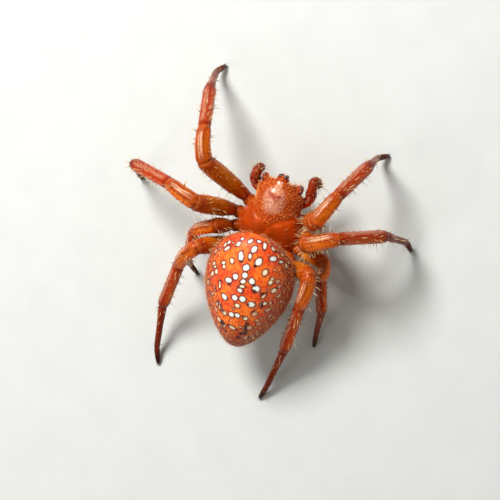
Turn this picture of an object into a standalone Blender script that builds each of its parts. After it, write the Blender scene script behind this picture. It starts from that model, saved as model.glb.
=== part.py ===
"""An orange orb-weaver spider at life size, standing on its eight feet.

All sizes below are in millimetres and angles in degrees. The head looks towards -Y, the
animal's left side is +X, and the floor that its feet rest on is z = 0.
"""
import math

import bmesh
import bpy
from mathutils import Matrix, Vector

MM = 0.001
GAP = 0.3
EYE_GAP = 0.15
OVERRUN = 0.7
SMOOTH_ANGLE = 50.0

# Front part of the body: the carapace on top, the sternum below, eight coxae at its sides
CEPH_CENTRE = (-0.79, -1.50)
CEPH_YAW = 6.3
HEAD_FACE_Y = -2.05
HEAD_HALF_WIDTH = 1.48
FACE_NARROWING = 0.32
THORAX_HALF_WIDTH = 2.05
THORAX_WIDEST_Y = 0.95
THORAX_FRONT_LENGTH = 2.0
THORAX_REAR_LENGTH = 1.5
UNDERSIDE_SAG = 0.08
CARAPACE_SIDES = 24
HEAD_TOP_Z = 4.95
THORAX_TOP_Z = 4.45
REAR_TOP_Z = 3.60
MARGIN_Z = 3.10
CLYPEUS_Z = 3.80
STERNUM_HALF_SIZE = (1.00, 1.65, 0.80)
STERNUM_CENTRE = (0.0, 0.70, 2.95)
MOUTHPART_HALF_SIZE = (0.62, 0.45, 0.42)
MOUTHPART_CENTRE = (0.0, -0.72, 2.70)
COXA_RADIUS = 0.46
COXA_ROOT_RADIUS = 0.34
COXA_ROOT_SHARE = 0.38
COXA_OVERRUN_SHARE = 0.4
PEDICEL_RADIUS = 0.42
PEDICEL_Y = (1.6, 2.42)
PEDICEL_Z = 3.18

# Where each pair of legs leaves the body, beside and behind the middle of the carapace
LEG_BASE_Z = 2.85
LEG_BASES = {1: (2.24, -0.42), 2: (2.66, 0.66), 3: (2.56, 1.68), 4: (2.14, 2.66)}

# Segment lengths of each pair, from knee joint to knee joint
SEGMENTS = ("femur", "patella", "tibia", "metatarsus", "tarsus")
SEGMENT_LENGTHS = {
    1: (4.51, 2.11, 3.84, 3.39, 0.97),
    2: (4.21, 2.11, 3.90, 3.34, 0.98),
    3: (2.37, 1.44, 2.42, 2.11, 1.00),
    4: (3.28, 2.31, 3.64, 3.17, 1.08),
}
GIRTH = {1: 1.0, 2: 1.0, 3: 0.85, 4: 0.92}

# Radii along a segment, as (share of its length, radius)
PROFILES = {
    "femur": ((0.0, 0.38), (0.12, 0.46), (0.35, 0.56), (0.7, 0.60), (1.0, 0.54)),
    "patella": ((0.0, 0.54), (0.25, 0.51), (0.5, 0.49), (0.75, 0.47), (1.0, 0.43)),
    "tibia": ((0.0, 0.42), (0.25, 0.42), (0.6, 0.42), (0.85, 0.43), (1.0, 0.38)),
    "metatarsus": ((0.0, 0.31), (0.12, 0.27), (0.5, 0.25), (1.0, 0.26)),
    "tarsus": ((0.0, 0.25), (0.5, 0.24), (0.85, 0.22), (1.0, 0.20)),
}
LEAST_RADIUS = 0.25
# How far a patella arches out of the line between its ends, as a share of its length
PATELLA_ARCH = 0.09
SEGMENT_SIDES = {"femur": 14, "patella": 12, "tibia": 12, "metatarsus": 10, "tarsus": 10}
FOOT_RADIUS = 0.20
FOOT_Z = 0.14

# The pose: the heading of each segment, counted from +X towards +Y, and the height
# of the four joints beyond the base. The last joint is the foot, at FOOT_Z.
POSE = {
    (1, "left"): ((-31, -76, -69, -61, -118), (6.52, 6.63, 3.98, 0.91)),
    (2, "left"): ((9, -21, -12, 34, 108), (6.76, 6.49, 4.33, 1.05)),
    (3, "left"): ((37, 28, 76, 63, 130), (5.16, 4.73, 3.00, 0.95)),
    (4, "left"): ((33, 49, 72, 88, 104), (5.77, 4.33, 2.19, 0.59)),
    (1, "right"): ((176, -116, -109, -66, -146), (7.18, 7.11, 4.21, 0.91)),
    (2, "right"): ((151, -157, -157, -179, 120), (6.97, 7.34, 4.25, 0.99)),
    (3, "right"): ((176, 87, 98, 79, 84), (4.48, 3.57, 2.31, 0.79)),
    (4, "right"): ((171, 81, 76, 71, 67), (5.54, 4.52, 2.46, 0.70)),
}

# Palps: the joints of each, in the frame of the carapace
PALP_RADIUS = 0.31
PALPS = {
    "left": ((1.14, -0.98, 2.75), (1.90, -1.46, 3.40), (1.90, -1.90, 3.80),
             (1.88, -2.28, 3.72), (1.88, -2.55, 3.05)),
    "right": ((-1.14, -0.98, 2.75), (-1.84, -1.58, 3.35), (-1.84, -2.22, 3.85),
              (-1.78, -2.85, 3.85), (-2.12, -2.62, 3.15)),
}

# Chelicerae: two stout jaws that hang under the face
CHELICERA_X = 0.62
CHELICERA_LENGTH = 1.75
CHELICERA_TOP_Z = 3.36
CHELICERA_Y = (-1.72, -1.80)
CHELICERA_HALF_SIZE = (0.46, 0.42)
# How full a chelicera is down its length, as (share of its length, share of its half size)
CHELICERA_PROFILE = ((0.0, 0.80), (0.12, 0.94), (0.35, 1.0), (0.65, 0.90), (0.88, 0.72), (1.0, 0.52))
CHELICERA_SIDES = 14
FANG_LENGTH = 0.62
FANG_RADIUS = 0.16

# Eyes: four on a knob in the middle of the face, two on each corner of the head
EYE_RADIUS = 0.13
MEDIAN_KNOB = (0.42, 0.20, 0.34)
MEDIAN_KNOB_CENTRE = (0.0, -2.34, 4.40)
# Across, up from the middle of the knob, and how far out of its front
MEDIAN_EYES = ((0.20, 0.18, 0.08), (0.19, -0.14, 0.13))
LATERAL_KNOB = (0.16, 0.24, 0.18)
LATERAL_KNOB_CENTRE = (1.28, -1.97, 4.16)
LATERAL_EYE_SPREAD = 0.14

# Abdomen: an egg, blunt and high in front, pointed behind
ABDOMEN_CENTRE = (-0.70, 3.57)
ABDOMEN_YAW = 1.0
ABDOMEN_LENGTH = 7.1
ABDOMEN_HALF_WIDTH = 2.88
ABDOMEN_HALF_HEIGHT = 2.55
ABDOMEN_AXIS_Z = 4.65
ABDOMEN_FRONT_LIFT = 1.15
ABDOMEN_RINGS = 20
ABDOMEN_SIDES = 30
BELLY_FLATNESS = 0.93
BELLY_NARROWING = 0.22
SPINNERET_SHARE = -0.70
SPINNERET_BASE_RADIUS = 0.46
SPINNERET_LENGTH = 0.55
TEAT_RADII = (0.15, 0.08)
TEAT_LENGTH = 0.30
TEAT_PLACE = (0.17, 0.15)
TEAT_LEAN = 0.35


def clear_scene():
    for obj in list(bpy.data.objects):
        bpy.data.objects.remove(obj, do_unlink=True)


def finish(name, colour, roughness):
    """A plain material for one sub-part."""
    mat = bpy.data.materials.new(name)
    mat.use_nodes = True
    shader = mat.node_tree.nodes["Principled BSDF"]
    shader.inputs["Base Color"].default_value = (*colour, 1.0)
    shader.inputs["Roughness"].default_value = roughness
    shader.inputs["Metallic"].default_value = 0.0
    return mat


def add_object(name, bm, mat):
    """Turns a bmesh in millimetres into an object in metres."""
    bmesh.ops.remove_doubles(bm, verts=bm.verts, dist=0.002)
    bmesh.ops.recalc_face_normals(bm, faces=bm.faces)
    bmesh.ops.scale(bm, vec=(MM, MM, MM), verts=bm.verts)
    mesh = bpy.data.meshes.new(name)
    bm.to_mesh(mesh)
    bm.free()
    mesh.materials.append(mat)
    mesh.shade_smooth()
    mesh.set_sharp_from_angle(angle=math.radians(SMOOTH_ANGLE))
    obj = bpy.data.objects.new(name, mesh)
    bpy.context.scene.collection.objects.link(obj)
    return obj


def smooth_step(x):
    x = min(1.0, max(0.0, x))
    return x * x * (3.0 - 2.0 * x)


def read_profile(profile, t):
    """The radius at share t of a segment, eased between the points of its profile."""
    for (t0, r0), (t1, r1) in zip(profile, profile[1:]):
        if t <= t1:
            return r0 + (r1 - r0) * smooth_step((t - t0) / (t1 - t0))
    return profile[-1][1]


def from_carapace(point):
    """A point of the carapace's frame in the animal's frame."""
    turn = Matrix.Rotation(math.radians(-CEPH_YAW), 3, "Z")
    return turn @ Vector(point) + Vector((*CEPH_CENTRE, 0.0))


def loft(rings):
    """A closed skin over rings of points, with flat ends."""
    bm = bmesh.new()
    rows = [[bm.verts.new(p) for p in ring] for ring in rings]
    count = len(rows[0])
    for a, b in zip(rows, rows[1:]):
        for i in range(count):
            j = (i + 1) % count
            bm.faces.new((a[i], a[j], b[j], b[i]))
    bm.faces.new(rows[0])
    bm.faces.new(rows[-1])
    return bm


def ring_about(centre, axis, radius, sides):
    """Points on a circle about an axis, the first of them on its upper side."""
    side = axis.cross(Vector((0.0, 0.0, 1.0)))
    if side.length < 1e-4:
        side = Vector((1.0, 0.0, 0.0))
    side.normalize()
    up = side.cross(axis).normalized()
    points = []
    for i in range(sides):
        angle = 2.0 * math.pi * i / sides
        points.append(centre + radius * (math.cos(angle) * up + math.sin(angle) * side))
    return points


def slice_off(bm, point, normal):
    """Cuts away what lies beyond a plane and closes the cut with a flat face."""
    geometry = list(bm.verts) + list(bm.edges) + list(bm.faces)
    cut = bmesh.ops.bisect_plane(
        bm, geom=geometry, plane_co=point, plane_no=normal, clear_outer=True, dist=1e-5
    )
    edges = [e for e in cut["geom_cut"] if isinstance(e, bmesh.types.BMEdge)]
    if edges:
        bmesh.ops.edgeloop_fill(bm, edges=edges)


def ellipsoid(centre, half_size, rows=10, sides=16):
    bm = bmesh.new()
    bmesh.ops.create_uvsphere(bm, u_segments=sides, v_segments=rows, radius=1.0)
    bmesh.ops.scale(bm, vec=half_size, verts=bm.verts)
    bmesh.ops.translate(bm, vec=centre, verts=bm.verts)
    return bm


def cone(start, end, start_radius, end_radius, sides=12):
    start, end = Vector(start), Vector(end)
    axis = (end - start).normalized()
    rings = [ring_about(start, axis, start_radius, sides), ring_about(end, axis, end_radius, sides)]
    return loft(rings)


def keep_largest(mesh):
    """Leaves only the biggest connected surface of a fused mesh."""
    bm = bmesh.new()
    bm.from_mesh(mesh)
    unseen = set(bm.faces)
    groups = []
    while unseen:
        group = {unseen.pop()}
        edge_of_group = list(group)
        while edge_of_group:
            face = edge_of_group.pop()
            for edge in face.edges:
                for other in edge.link_faces:
                    if other in unseen:
                        unseen.remove(other)
                        group.add(other)
                        edge_of_group.append(other)
        groups.append(group)
    largest = max(groups, key=lambda g: sum(f.calc_area() for f in g))
    scraps = [f for g in groups if g is not largest for f in g]
    bmesh.ops.delete(bm, geom=scraps, context="FACES")
    bmesh.ops.dissolve_degenerate(bm, edges=bm.edges, dist=1e-6)
    bmesh.ops.triangulate(bm, faces=bm.faces)
    bm.to_mesh(mesh)
    bm.free()


def fused(name, pieces, mat):
    """One object from several closed pieces, joined by one Boolean union."""
    body = add_object(name, pieces[0], mat)
    others = bpy.data.collections.new(name + "_pieces")
    bpy.context.scene.collection.children.link(others)
    for i, piece in enumerate(pieces[1:]):
        obj = add_object(f"{name}_piece_{i}", piece, mat)
        bpy.context.scene.collection.objects.unlink(obj)
        others.objects.link(obj)
    union = body.modifiers.new("union", "BOOLEAN")
    union.operation = "UNION"
    union.operand_type = "COLLECTION"
    union.collection = others
    union.solver = "EXACT"
    depsgraph = bpy.context.evaluated_depsgraph_get()
    joined = bpy.data.meshes.new_from_object(body.evaluated_get(depsgraph))
    body.modifiers.remove(union)
    body.data = joined
    for obj in list(others.objects):
        bpy.data.objects.remove(obj, do_unlink=True)
    bpy.data.collections.remove(others)
    keep_largest(body.data)
    body.data.shade_smooth()
    body.data.set_sharp_from_angle(angle=math.radians(SMOOTH_ANGLE))
    return body


def leg_base(number, side):
    x, y = LEG_BASES[number]
    sign = 1.0 if side == "left" else -1.0
    return from_carapace((sign * x, y, LEG_BASE_Z))


def leg_joints(number, side):
    """The six joints of a leg, from its base on the body to the middle of its foot."""
    headings, heights = POSE[number, side]
    joints = [leg_base(number, side)]
    for length, heading, height in zip(SEGMENT_LENGTHS[number], headings, (*heights, FOOT_Z)):
        rise = height - joints[-1].z
        run = math.sqrt(length * length - rise * rise)
        angle = math.radians(heading)
        joints.append(joints[-1] + Vector((run * math.cos(angle), run * math.sin(angle), rise)))
    return joints


def coxa_axis(number, side):
    """The level direction in which a leg leaves the body."""
    middle = from_carapace(STERNUM_CENTRE)
    middle.z = LEG_BASE_Z
    return (leg_base(number, side) - middle).normalized()


def arch_of(index, joints):
    """The way and distance that the middle of a segment arches out of its line."""
    if SEGMENTS[index] != "patella":
        return Vector()
    start, end = joints[index], joints[index + 1]
    axis = (end - start).normalized()
    out = (start + end - joints[index - 1] - joints[index + 2]) / 2.0
    out -= axis * out.dot(axis)
    return out.normalized() * PATELLA_ARCH * (end - start).length


def leg_segment(number, side, index, joints, mat):
    """One straight segment, cut face to face with the ones before and after it."""
    kind = SEGMENTS[index]
    start, end = joints[index], joints[index + 1]
    axis = (end - start).normalized()
    length = (end - start).length
    profile = PROFILES[kind]
    arch = arch_of(index, joints)
    is_foot = index == len(SEGMENTS) - 1
    shares = [-OVERRUN / length] + [t for t, _ in profile]
    if not is_foot:
        shares.append(1.0 + OVERRUN / length)
    rings = []
    for share in shares:
        radius = read_profile(profile, max(0.0, share)) * GIRTH[number]
        if not is_foot:
            radius = max(radius, LEAST_RADIUS)
        rise = 4.0 * share * (1.0 - share) if 0.0 < share < 1.0 else 4.0 * min(share, 1.0 - share)
        centre = start + axis * length * share + arch * rise
        rings.append(ring_about(centre, axis, radius, SEGMENT_SIDES[kind]))
    if is_foot:
        for bend in (35.0, 70.0):
            centre = end + axis * FOOT_RADIUS * math.sin(math.radians(bend))
            radius = FOOT_RADIUS * math.cos(math.radians(bend))
            rings.append(ring_about(centre, axis, radius, SEGMENT_SIDES[kind]))
    bm = loft(rings)
    before = (start - joints[index - 1]).normalized() if index else coxa_axis(number, side)
    meeting = (before + axis).normalized()
    slice_off(bm, start + meeting * GAP / 2.0, -meeting)
    if is_foot:
        slice_off(bm, Vector((0.0, 0.0, 0.0)), Vector((0.0, 0.0, -1.0)))
    else:
        after = (joints[index + 2] - end).normalized()
        meeting = (axis + after).normalized()
        slice_off(bm, end - meeting * GAP / 2.0, meeting)
    return add_object(f"leg_{number}_{side}_{kind}", bm, mat)


def carapace_half_width(y):
    """Half the carapace's width at y: the head nearly even, the thorax rounded behind it."""
    head = HEAD_HALF_WIDTH * (1.0 - FACE_NARROWING * smooth_step((-1.3 - y) / 0.75))
    behind = y - THORAX_WIDEST_Y
    u = behind / (THORAX_REAR_LENGTH if behind > 0.0 else THORAX_FRONT_LENGTH)
    thorax = THORAX_HALF_WIDTH * math.sqrt(max(0.0, 1.0 - u * u))
    return max(head if y < 0.0 else 0.0, thorax)


def carapace_top(y):
    """Height of the carapace's middle line: a raised head, then a slope to the rear."""
    if y < -1.2:
        return HEAD_TOP_Z - 0.20 * smooth_step((-1.2 - y) / 0.85)
    if y < 0.6:
        return HEAD_TOP_Z + (THORAX_TOP_Z - HEAD_TOP_Z) * smooth_step((y + 1.2) / 1.8)
    return THORAX_TOP_Z + (REAR_TOP_Z - THORAX_TOP_Z) * smooth_step((y - 0.6) / 1.75)


def carapace_under(y):
    return MARGIN_Z + (CLYPEUS_Z - MARGIN_Z) * smooth_step((-0.7 - y) / 0.9)


def carapace_shell():
    """The dome of the carapace with a flat underside, in the animal's frame."""
    sides = CARAPACE_SIDES
    stations = [HEAD_FACE_Y, -1.9, -1.6, -1.2, -0.8, -0.4, 0.0, 0.4, 0.8, 1.2, 1.6, 1.9, 2.15, 2.35]
    rings = []
    for y in stations:
        width = carapace_half_width(y)
        top, under = carapace_top(y), carapace_under(y)
        rise = top - under
        ring = []
        for i in range(sides):
            angle = 2.0 * math.pi * i / sides
            x = width * math.sin(angle)
            dome = math.cos(angle)
            z = under + rise * dome * (1.0 if dome > 0.0 else UNDERSIDE_SAG)
            ring.append(from_carapace((x, y, z)))
        rings.append(ring)
    return loft(rings)


def in_frame(bm):
    """Moves a bmesh from the carapace's frame to the animal's."""
    for vert in bm.verts:
        vert.co = from_carapace(vert.co)
    return bm


def make_cephalothorax(mat):
    pieces = [carapace_shell()]
    pieces.append(in_frame(ellipsoid(STERNUM_CENTRE, STERNUM_HALF_SIZE)))
    pieces.append(in_frame(ellipsoid(MOUTHPART_CENTRE, MOUTHPART_HALF_SIZE)))
    middle = Vector(STERNUM_CENTRE)
    middle.z = LEG_BASE_Z
    for number, (x, y) in LEG_BASES.items():
        for sign in (1.0, -1.0):
            side = "left" if sign > 0 else "right"
            end = Vector((sign * x, y, LEG_BASE_Z))
            root = middle.lerp(end, COXA_ROOT_SHARE)
            joints = leg_joints(number, side)
            meeting = (coxa_axis(number, side) + (joints[1] - joints[0]).normalized()).normalized()
            coxa = in_frame(cone(root, end + (end - root) * COXA_OVERRUN_SHARE,
                                 COXA_ROOT_RADIUS, COXA_RADIUS))
            slice_off(coxa, joints[0] - meeting * GAP / 2.0, meeting)
            pieces.append(coxa)
    pieces.append(in_frame(cone((0.0, PEDICEL_Y[0], PEDICEL_Z), (0.0, PEDICEL_Y[1], PEDICEL_Z),
                                PEDICEL_RADIUS, PEDICEL_RADIUS * 0.8)))
    return fused("cephalothorax", pieces, mat)


def abdomen_section(c):
    """Half width, half height and axis height at c, from -1 at the tip to 1 in front."""
    swell = math.sqrt(max(0.0, 1.0 - c * c))
    width = ABDOMEN_HALF_WIDTH * swell * (0.95 + 0.28 * c - 0.05 * c * c)
    height = ABDOMEN_HALF_HEIGHT * swell * (0.93 + 0.25 * c)
    lift = 0.55 * c + ABDOMEN_FRONT_LIFT * max(0.0, c) ** 3
    return width, height, ABDOMEN_AXIS_Z + lift


def abdomen_point(c, angle):
    """A point of the abdomen's surface, the angle counted from its upper side."""
    width, height, axis_z = abdomen_section(c)
    below = max(0.0, -math.cos(angle))
    flat = 1.0 if below == 0.0 else BELLY_FLATNESS
    x = width * (1.0 - BELLY_NARROWING * below) * math.sin(angle)
    local = Vector((x, -c * ABDOMEN_LENGTH / 2.0, axis_z + flat * height * math.cos(angle)))
    turn = Matrix.Rotation(math.radians(-ABDOMEN_YAW), 3, "Z")
    return turn @ local + Vector((*ABDOMEN_CENTRE, 0.0))


def make_abdomen(mat):
    rings = []
    for i in range(1, ABDOMEN_RINGS):
        c = -math.cos(math.pi * i / ABDOMEN_RINGS)
        angles = (2.0 * math.pi * k / ABDOMEN_SIDES for k in range(ABDOMEN_SIDES))
        rings.append([abdomen_point(c, angle) for angle in angles])
    bm = loft(rings)
    for face in [f for f in bm.faces if len(f.verts) > 4]:
        tip_c = 1.0 if face.calc_center_median().y < ABDOMEN_CENTRE[1] else -1.0
        made = bmesh.ops.poke(bm, faces=[face])
        made["verts"][0].co = abdomen_point(tip_c, 0.0)
    return add_object("abdomen", bm, mat)


def make_spinnerets(mat):
    """A short cone under the abdomen's rear, with four blunt teats at its end."""
    root = abdomen_point(SPINNERET_SHARE, math.pi)
    ahead = abdomen_point(SPINNERET_SHARE + 0.1, math.pi)
    along = (root - ahead).normalized()
    out = Vector((0.0, -along.z, along.y)).normalized()
    if out.z > 0.0:
        out = -out
    base = root + out * GAP
    way = (out + TEAT_LEAN * along).normalized()
    end = base + out * SPINNERET_LENGTH * 0.5
    pieces = [cone(base, end, SPINNERET_BASE_RADIUS, SPINNERET_BASE_RADIUS * 0.8, 14)]
    across = Vector((1.0, 0.0, 0.0))
    for sx in (1.0, -1.0):
        for sy in (1.0, -1.0):
            foot = end - out * 0.12 + across * sx * TEAT_PLACE[0] + along * sy * TEAT_PLACE[1]
            tip = foot + way * (TEAT_LENGTH + 0.05 * sy)
            pieces.append(cone(foot, tip, *TEAT_RADII, 8))
    return fused("spinnerets", pieces, mat)


def swept_tube(points, radii, sides=12, steps=4):
    """A tube along a smooth curve through points, with rounded ends."""
    path = []
    widths = []
    padded = [points[0] * 2 - points[1]] + list(points) + [points[-1] * 2 - points[-2]]
    for i in range(1, len(padded) - 2):
        p0, p1, p2, p3 = padded[i - 1:i + 3]
        for k in range(steps):
            t = k / steps
            path.append(0.5 * (2 * p1 + (p2 - p0) * t + (2 * p0 - 5 * p1 + 4 * p2 - p3) * t * t
                               + (3 * p1 - p0 - 3 * p2 + p3) * t * t * t))
            widths.append(radii[i - 1] + (radii[i] - radii[i - 1]) * smooth_step(t))
    path.append(points[-1])
    widths.append(radii[-1])
    rings = []
    side = None
    for i, centre in enumerate(path):
        axis = (path[min(i + 1, len(path) - 1)] - path[max(i - 1, 0)]).normalized()
        if side is None:
            side = axis.cross(Vector((0.0, 0.0, 1.0))).normalized()
        side = (side - axis * side.dot(axis)).normalized()
        up = side.cross(axis)
        rings.append([centre + widths[i] * (math.cos(a) * up + math.sin(a) * side)
                      for a in (2.0 * math.pi * k / sides for k in range(sides))])
    last_axis = (path[-1] - path[-2]).normalized()
    for bend in (40.0, 75.0):
        lift = last_axis * widths[-1] * math.sin(math.radians(bend))
        shrink = math.cos(math.radians(bend))
        rings.append([path[-1] + lift + (p - path[-1]) * shrink for p in rings[len(path) - 1]])
    return loft(rings)


def make_palp(side, mats):
    """The palp's first long segment, and the bent rest of it out to the tip."""
    joints = [from_carapace(p) for p in PALPS[side]]
    first = (joints[1] - joints[0]).normalized()
    after = (joints[2] - joints[1]).normalized()
    meeting = (first + after).normalized()
    femur = cone(joints[0], joints[1] + first * OVERRUN, PALP_RADIUS * 0.85, PALP_RADIUS)
    slice_off(femur, joints[1] - meeting * GAP / 2.0, meeting)
    add_object(f"palp_{side}_femur", femur, mats)
    start = joints[1] - after * 0.3
    tip = swept_tube([start] + joints[2:], [PALP_RADIUS * 0.95, PALP_RADIUS * 1.1,
                                            PALP_RADIUS, PALP_RADIUS * 0.8])
    slice_off(tip, joints[1] + meeting * GAP / 2.0, -meeting)
    add_object(f"palp_{side}_tip", tip, mats)


def make_chelicera(side, mat):
    """A swollen basal segment with its fang folded inwards at the lower end."""
    sign = 1.0 if side == "left" else -1.0
    rings = []
    for t, swell in CHELICERA_PROFILE:
        y = CHELICERA_Y[0] + (CHELICERA_Y[1] - CHELICERA_Y[0]) * t
        centre = Vector((sign * (CHELICERA_X - 0.08 * t), y, CHELICERA_TOP_Z - CHELICERA_LENGTH * t))
        ring = []
        for i in range(CHELICERA_SIDES):
            angle = 2.0 * math.pi * i / CHELICERA_SIDES
            x, y = CHELICERA_HALF_SIZE
            offset = Vector((x * math.sin(angle), y * math.cos(angle), 0.0)) * swell
            ring.append(from_carapace(centre + offset))
        rings.append(ring)
    low = Vector((sign * CHELICERA_X * 0.95, CHELICERA_Y[1], CHELICERA_TOP_Z - CHELICERA_LENGTH + 0.08))
    point = low + Vector((-sign * 0.22, 0.15, -1.0)).normalized() * FANG_LENGTH * 0.6
    fang = cone(from_carapace(low), from_carapace(point), FANG_RADIUS, FANG_RADIUS * 0.35, 8)
    fused(f"chelicera_{side}", [loft(rings), fang], mat)


def make_eyes(mat):
    """The knob with four eyes at the front of the head, and a pair on each side of it."""
    cx, cy, cz = MEDIAN_KNOB_CENTRE
    pieces = [in_frame(ellipsoid(MEDIAN_KNOB_CENTRE, MEDIAN_KNOB, 8, 14))]
    for x, z, depth in MEDIAN_EYES:
        for sign in (1.0, -1.0):
            place = (cx + sign * x, cy - depth, cz + z)
            pieces.append(in_frame(ellipsoid(place, (EYE_RADIUS,) * 3, 6, 10)))
    for piece in pieces:
        slice_off(piece, from_carapace((0.0, HEAD_FACE_Y - EYE_GAP, cz)),
                  from_carapace((0.0, 1.0, 0.0)) - from_carapace((0.0, 0.0, 0.0)))
    fused("eyes_median", pieces, mat)
    for side, sign in (("left", 1.0), ("right", -1.0)):
        kx, ky, kz = LATERAL_KNOB_CENTRE
        pieces = [in_frame(ellipsoid((sign * kx, ky, kz), LATERAL_KNOB, 8, 12))]
        for dy in (-LATERAL_EYE_SPREAD, LATERAL_EYE_SPREAD):
            place = (sign * (kx + 0.08), ky + dy, kz + 0.04)
            pieces.append(in_frame(ellipsoid(place, (EYE_RADIUS,) * 3, 6, 10)))
        fused(f"eyes_lateral_{side}", pieces, mat)


def main():
    clear_scene()
    shell = finish("carapace_orange", (0.60, 0.13, 0.02), 0.35)
    skin = finish("abdomen_orange", (0.85, 0.12, 0.01), 0.55)
    amber = finish("leg_amber", (0.62, 0.16, 0.02), 0.30)
    rust = finish("leg_rust", (0.48, 0.07, 0.01), 0.35)
    dark = finish("leg_tip_dark", (0.06, 0.015, 0.008), 0.45)
    eye = finish("eye_dark", (0.02, 0.01, 0.01), 0.08)
    make_cephalothorax(shell)
    make_abdomen(skin)
    make_spinnerets(rust)
    make_eyes(eye)
    leg_finish = {"femur": amber, "patella": amber, "tibia": rust, "metatarsus": rust, "tarsus": dark}
    for side in ("left", "right"):
        make_chelicera(side, rust)
        make_palp(side, rust)
        for number in SEGMENT_LENGTHS:
            joints = leg_joints(number, side)
            for index, kind in enumerate(SEGMENTS):
                leg_segment(number, side, index, joints, leg_finish[kind])


main()
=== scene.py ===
# %% [markdown]
# # An orange orb-weaver spider
# This scene dresses a life-size spider, about 11 mm long in the body. The solids of the animal
# come first, as a fixed frame. One skin mesh then takes their place, and eyes, fangs,
# claws, bristles and fine hairs are set on it. Lengths are written in millimetres, because the
# animal is so small, and are turned into Blender's metres when a mesh is made.

# %% The frame
import math

import bmesh
import bpy
import numpy as np
from mathutils import Matrix, Vector
from mathutils.bvhtree import BVHTree


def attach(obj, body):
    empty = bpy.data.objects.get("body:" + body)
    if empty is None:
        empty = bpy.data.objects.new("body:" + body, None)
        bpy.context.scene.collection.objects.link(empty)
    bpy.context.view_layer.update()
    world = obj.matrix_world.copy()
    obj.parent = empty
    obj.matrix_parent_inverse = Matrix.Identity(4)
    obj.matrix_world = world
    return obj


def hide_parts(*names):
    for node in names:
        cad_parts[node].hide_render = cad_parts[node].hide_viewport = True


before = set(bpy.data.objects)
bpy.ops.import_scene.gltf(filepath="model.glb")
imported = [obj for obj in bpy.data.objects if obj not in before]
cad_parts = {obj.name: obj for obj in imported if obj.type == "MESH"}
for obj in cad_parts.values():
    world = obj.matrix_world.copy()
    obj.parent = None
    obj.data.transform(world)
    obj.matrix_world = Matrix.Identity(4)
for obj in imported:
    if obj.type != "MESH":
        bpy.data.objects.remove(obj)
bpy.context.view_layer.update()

MM = 0.001
BODY = "root"


def add_object(name, data):
    made = bpy.data.objects.new(name, data)
    bpy.context.scene.collection.objects.link(made)
    return made


# %% [markdown]
# ## The camera
# The photograph looks almost straight down on the animal, a little from its right, with the
# head turned up and to the right. A long lens far away keeps the legs in proportion. The
# camera comes first, because the spots on the abdomen are later placed by looking through it.

# %% Camera at the photograph's angle
FRAME_PX = 500
SENSOR = 36.0
TILT, ROLL = math.radians(13.5), math.radians(14.8)
DISTANCE = 180.0
PX_PER_MM = 16.0
AIM, AIM_PX = Vector((-0.37, 0.45, 3.6)), (259.0, 242.0)

toward_camera = Vector((-math.sin(TILT), 0.0, math.cos(TILT)))
level_right = Vector((-math.cos(TILT), 0.0, -math.sin(TILT)))
head_up = Vector((0.0, -1.0, 0.0))
cam_right = math.cos(ROLL) * level_right + math.sin(ROLL) * head_up
cam_up = math.cos(ROLL) * head_up - math.sin(ROLL) * level_right


def sight_line(px, py):
    """The direction seen at a pixel of the 500-pixel photograph."""
    focal_px = DISTANCE * PX_PER_MM
    across = (px - FRAME_PX / 2) / focal_px
    down = (py - FRAME_PX / 2) / focal_px
    return cam_right * across - cam_up * down - toward_camera


camera_place = AIM - sight_line(*AIM_PX) * DISTANCE
camera = add_object("camera", bpy.data.cameras.new("camera"))
camera.data.sensor_width = SENSOR
camera.data.lens = SENSOR * DISTANCE * PX_PER_MM / FRAME_PX
camera.data.clip_start = 10 * MM
camera.matrix_world = Matrix((cam_right, cam_up, toward_camera)).transposed().to_4x4()
camera.location = camera_place * MM
bpy.context.scene.camera = camera
bpy.context.scene.view_settings.view_transform = "Standard"
print("camera at", [round(v, 1) for v in camera_place], "mm, lens", round(camera.data.lens, 1))

# %% [markdown]
# ## Node graphs written as sums
# Materials and Geometry Nodes both need small formulas. One class wraps a socket, so that
# `1 - mask * 0.5` adds its Math nodes by itself. A second class adds any other node, and a
# third one holds a whole material.

# %% Sockets that can be added and multiplied
SHARED_KINDS = ("Math", "MapRange", "VectorMath", "SeparateXYZ", "CombineXYZ")


class Value:
    """A node's output that can stand in a formula."""

    def __init__(self, graph, socket):
        self.graph = graph
        self.socket = socket

    def math(self, operation, *others):
        return self.graph.node("Math", dict(enumerate((self, *others))), operation=operation)

    def __add__(self, other):
        return self.math("ADD", other)

    def __sub__(self, other):
        return self.math("SUBTRACT", other)

    def __mul__(self, other):
        return self.math("MULTIPLY", other)

    def __truediv__(self, other):
        return self.math("DIVIDE", other)

    def __rsub__(self, other):
        return self.graph.node("Math", {0: other, 1: self}, operation="SUBTRACT")

    __radd__ = __add__
    __rmul__ = __mul__

    def smooth(self, low, high, start=0.0, end=1.0):
        """Eases from start to end while this value goes from low to high."""
        inputs = {"Value": self, "From Min": low, "From Max": high, "To Min": start, "To Max": end}
        return self.graph.node("MapRange", inputs, interpolation_type="SMOOTHSTEP")

    def fade(self, low, high, start=1.0):
        """Eases from start down to 0 while this value goes from low to high."""
        return self.smooth(low, high, start, 0.0)

    def band(self, *edges):
        """Eases up to 1 between the first two edges and down again between the last two."""
        return self.smooth(*edges[:2]) * self.fade(*edges[2:])


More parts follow.
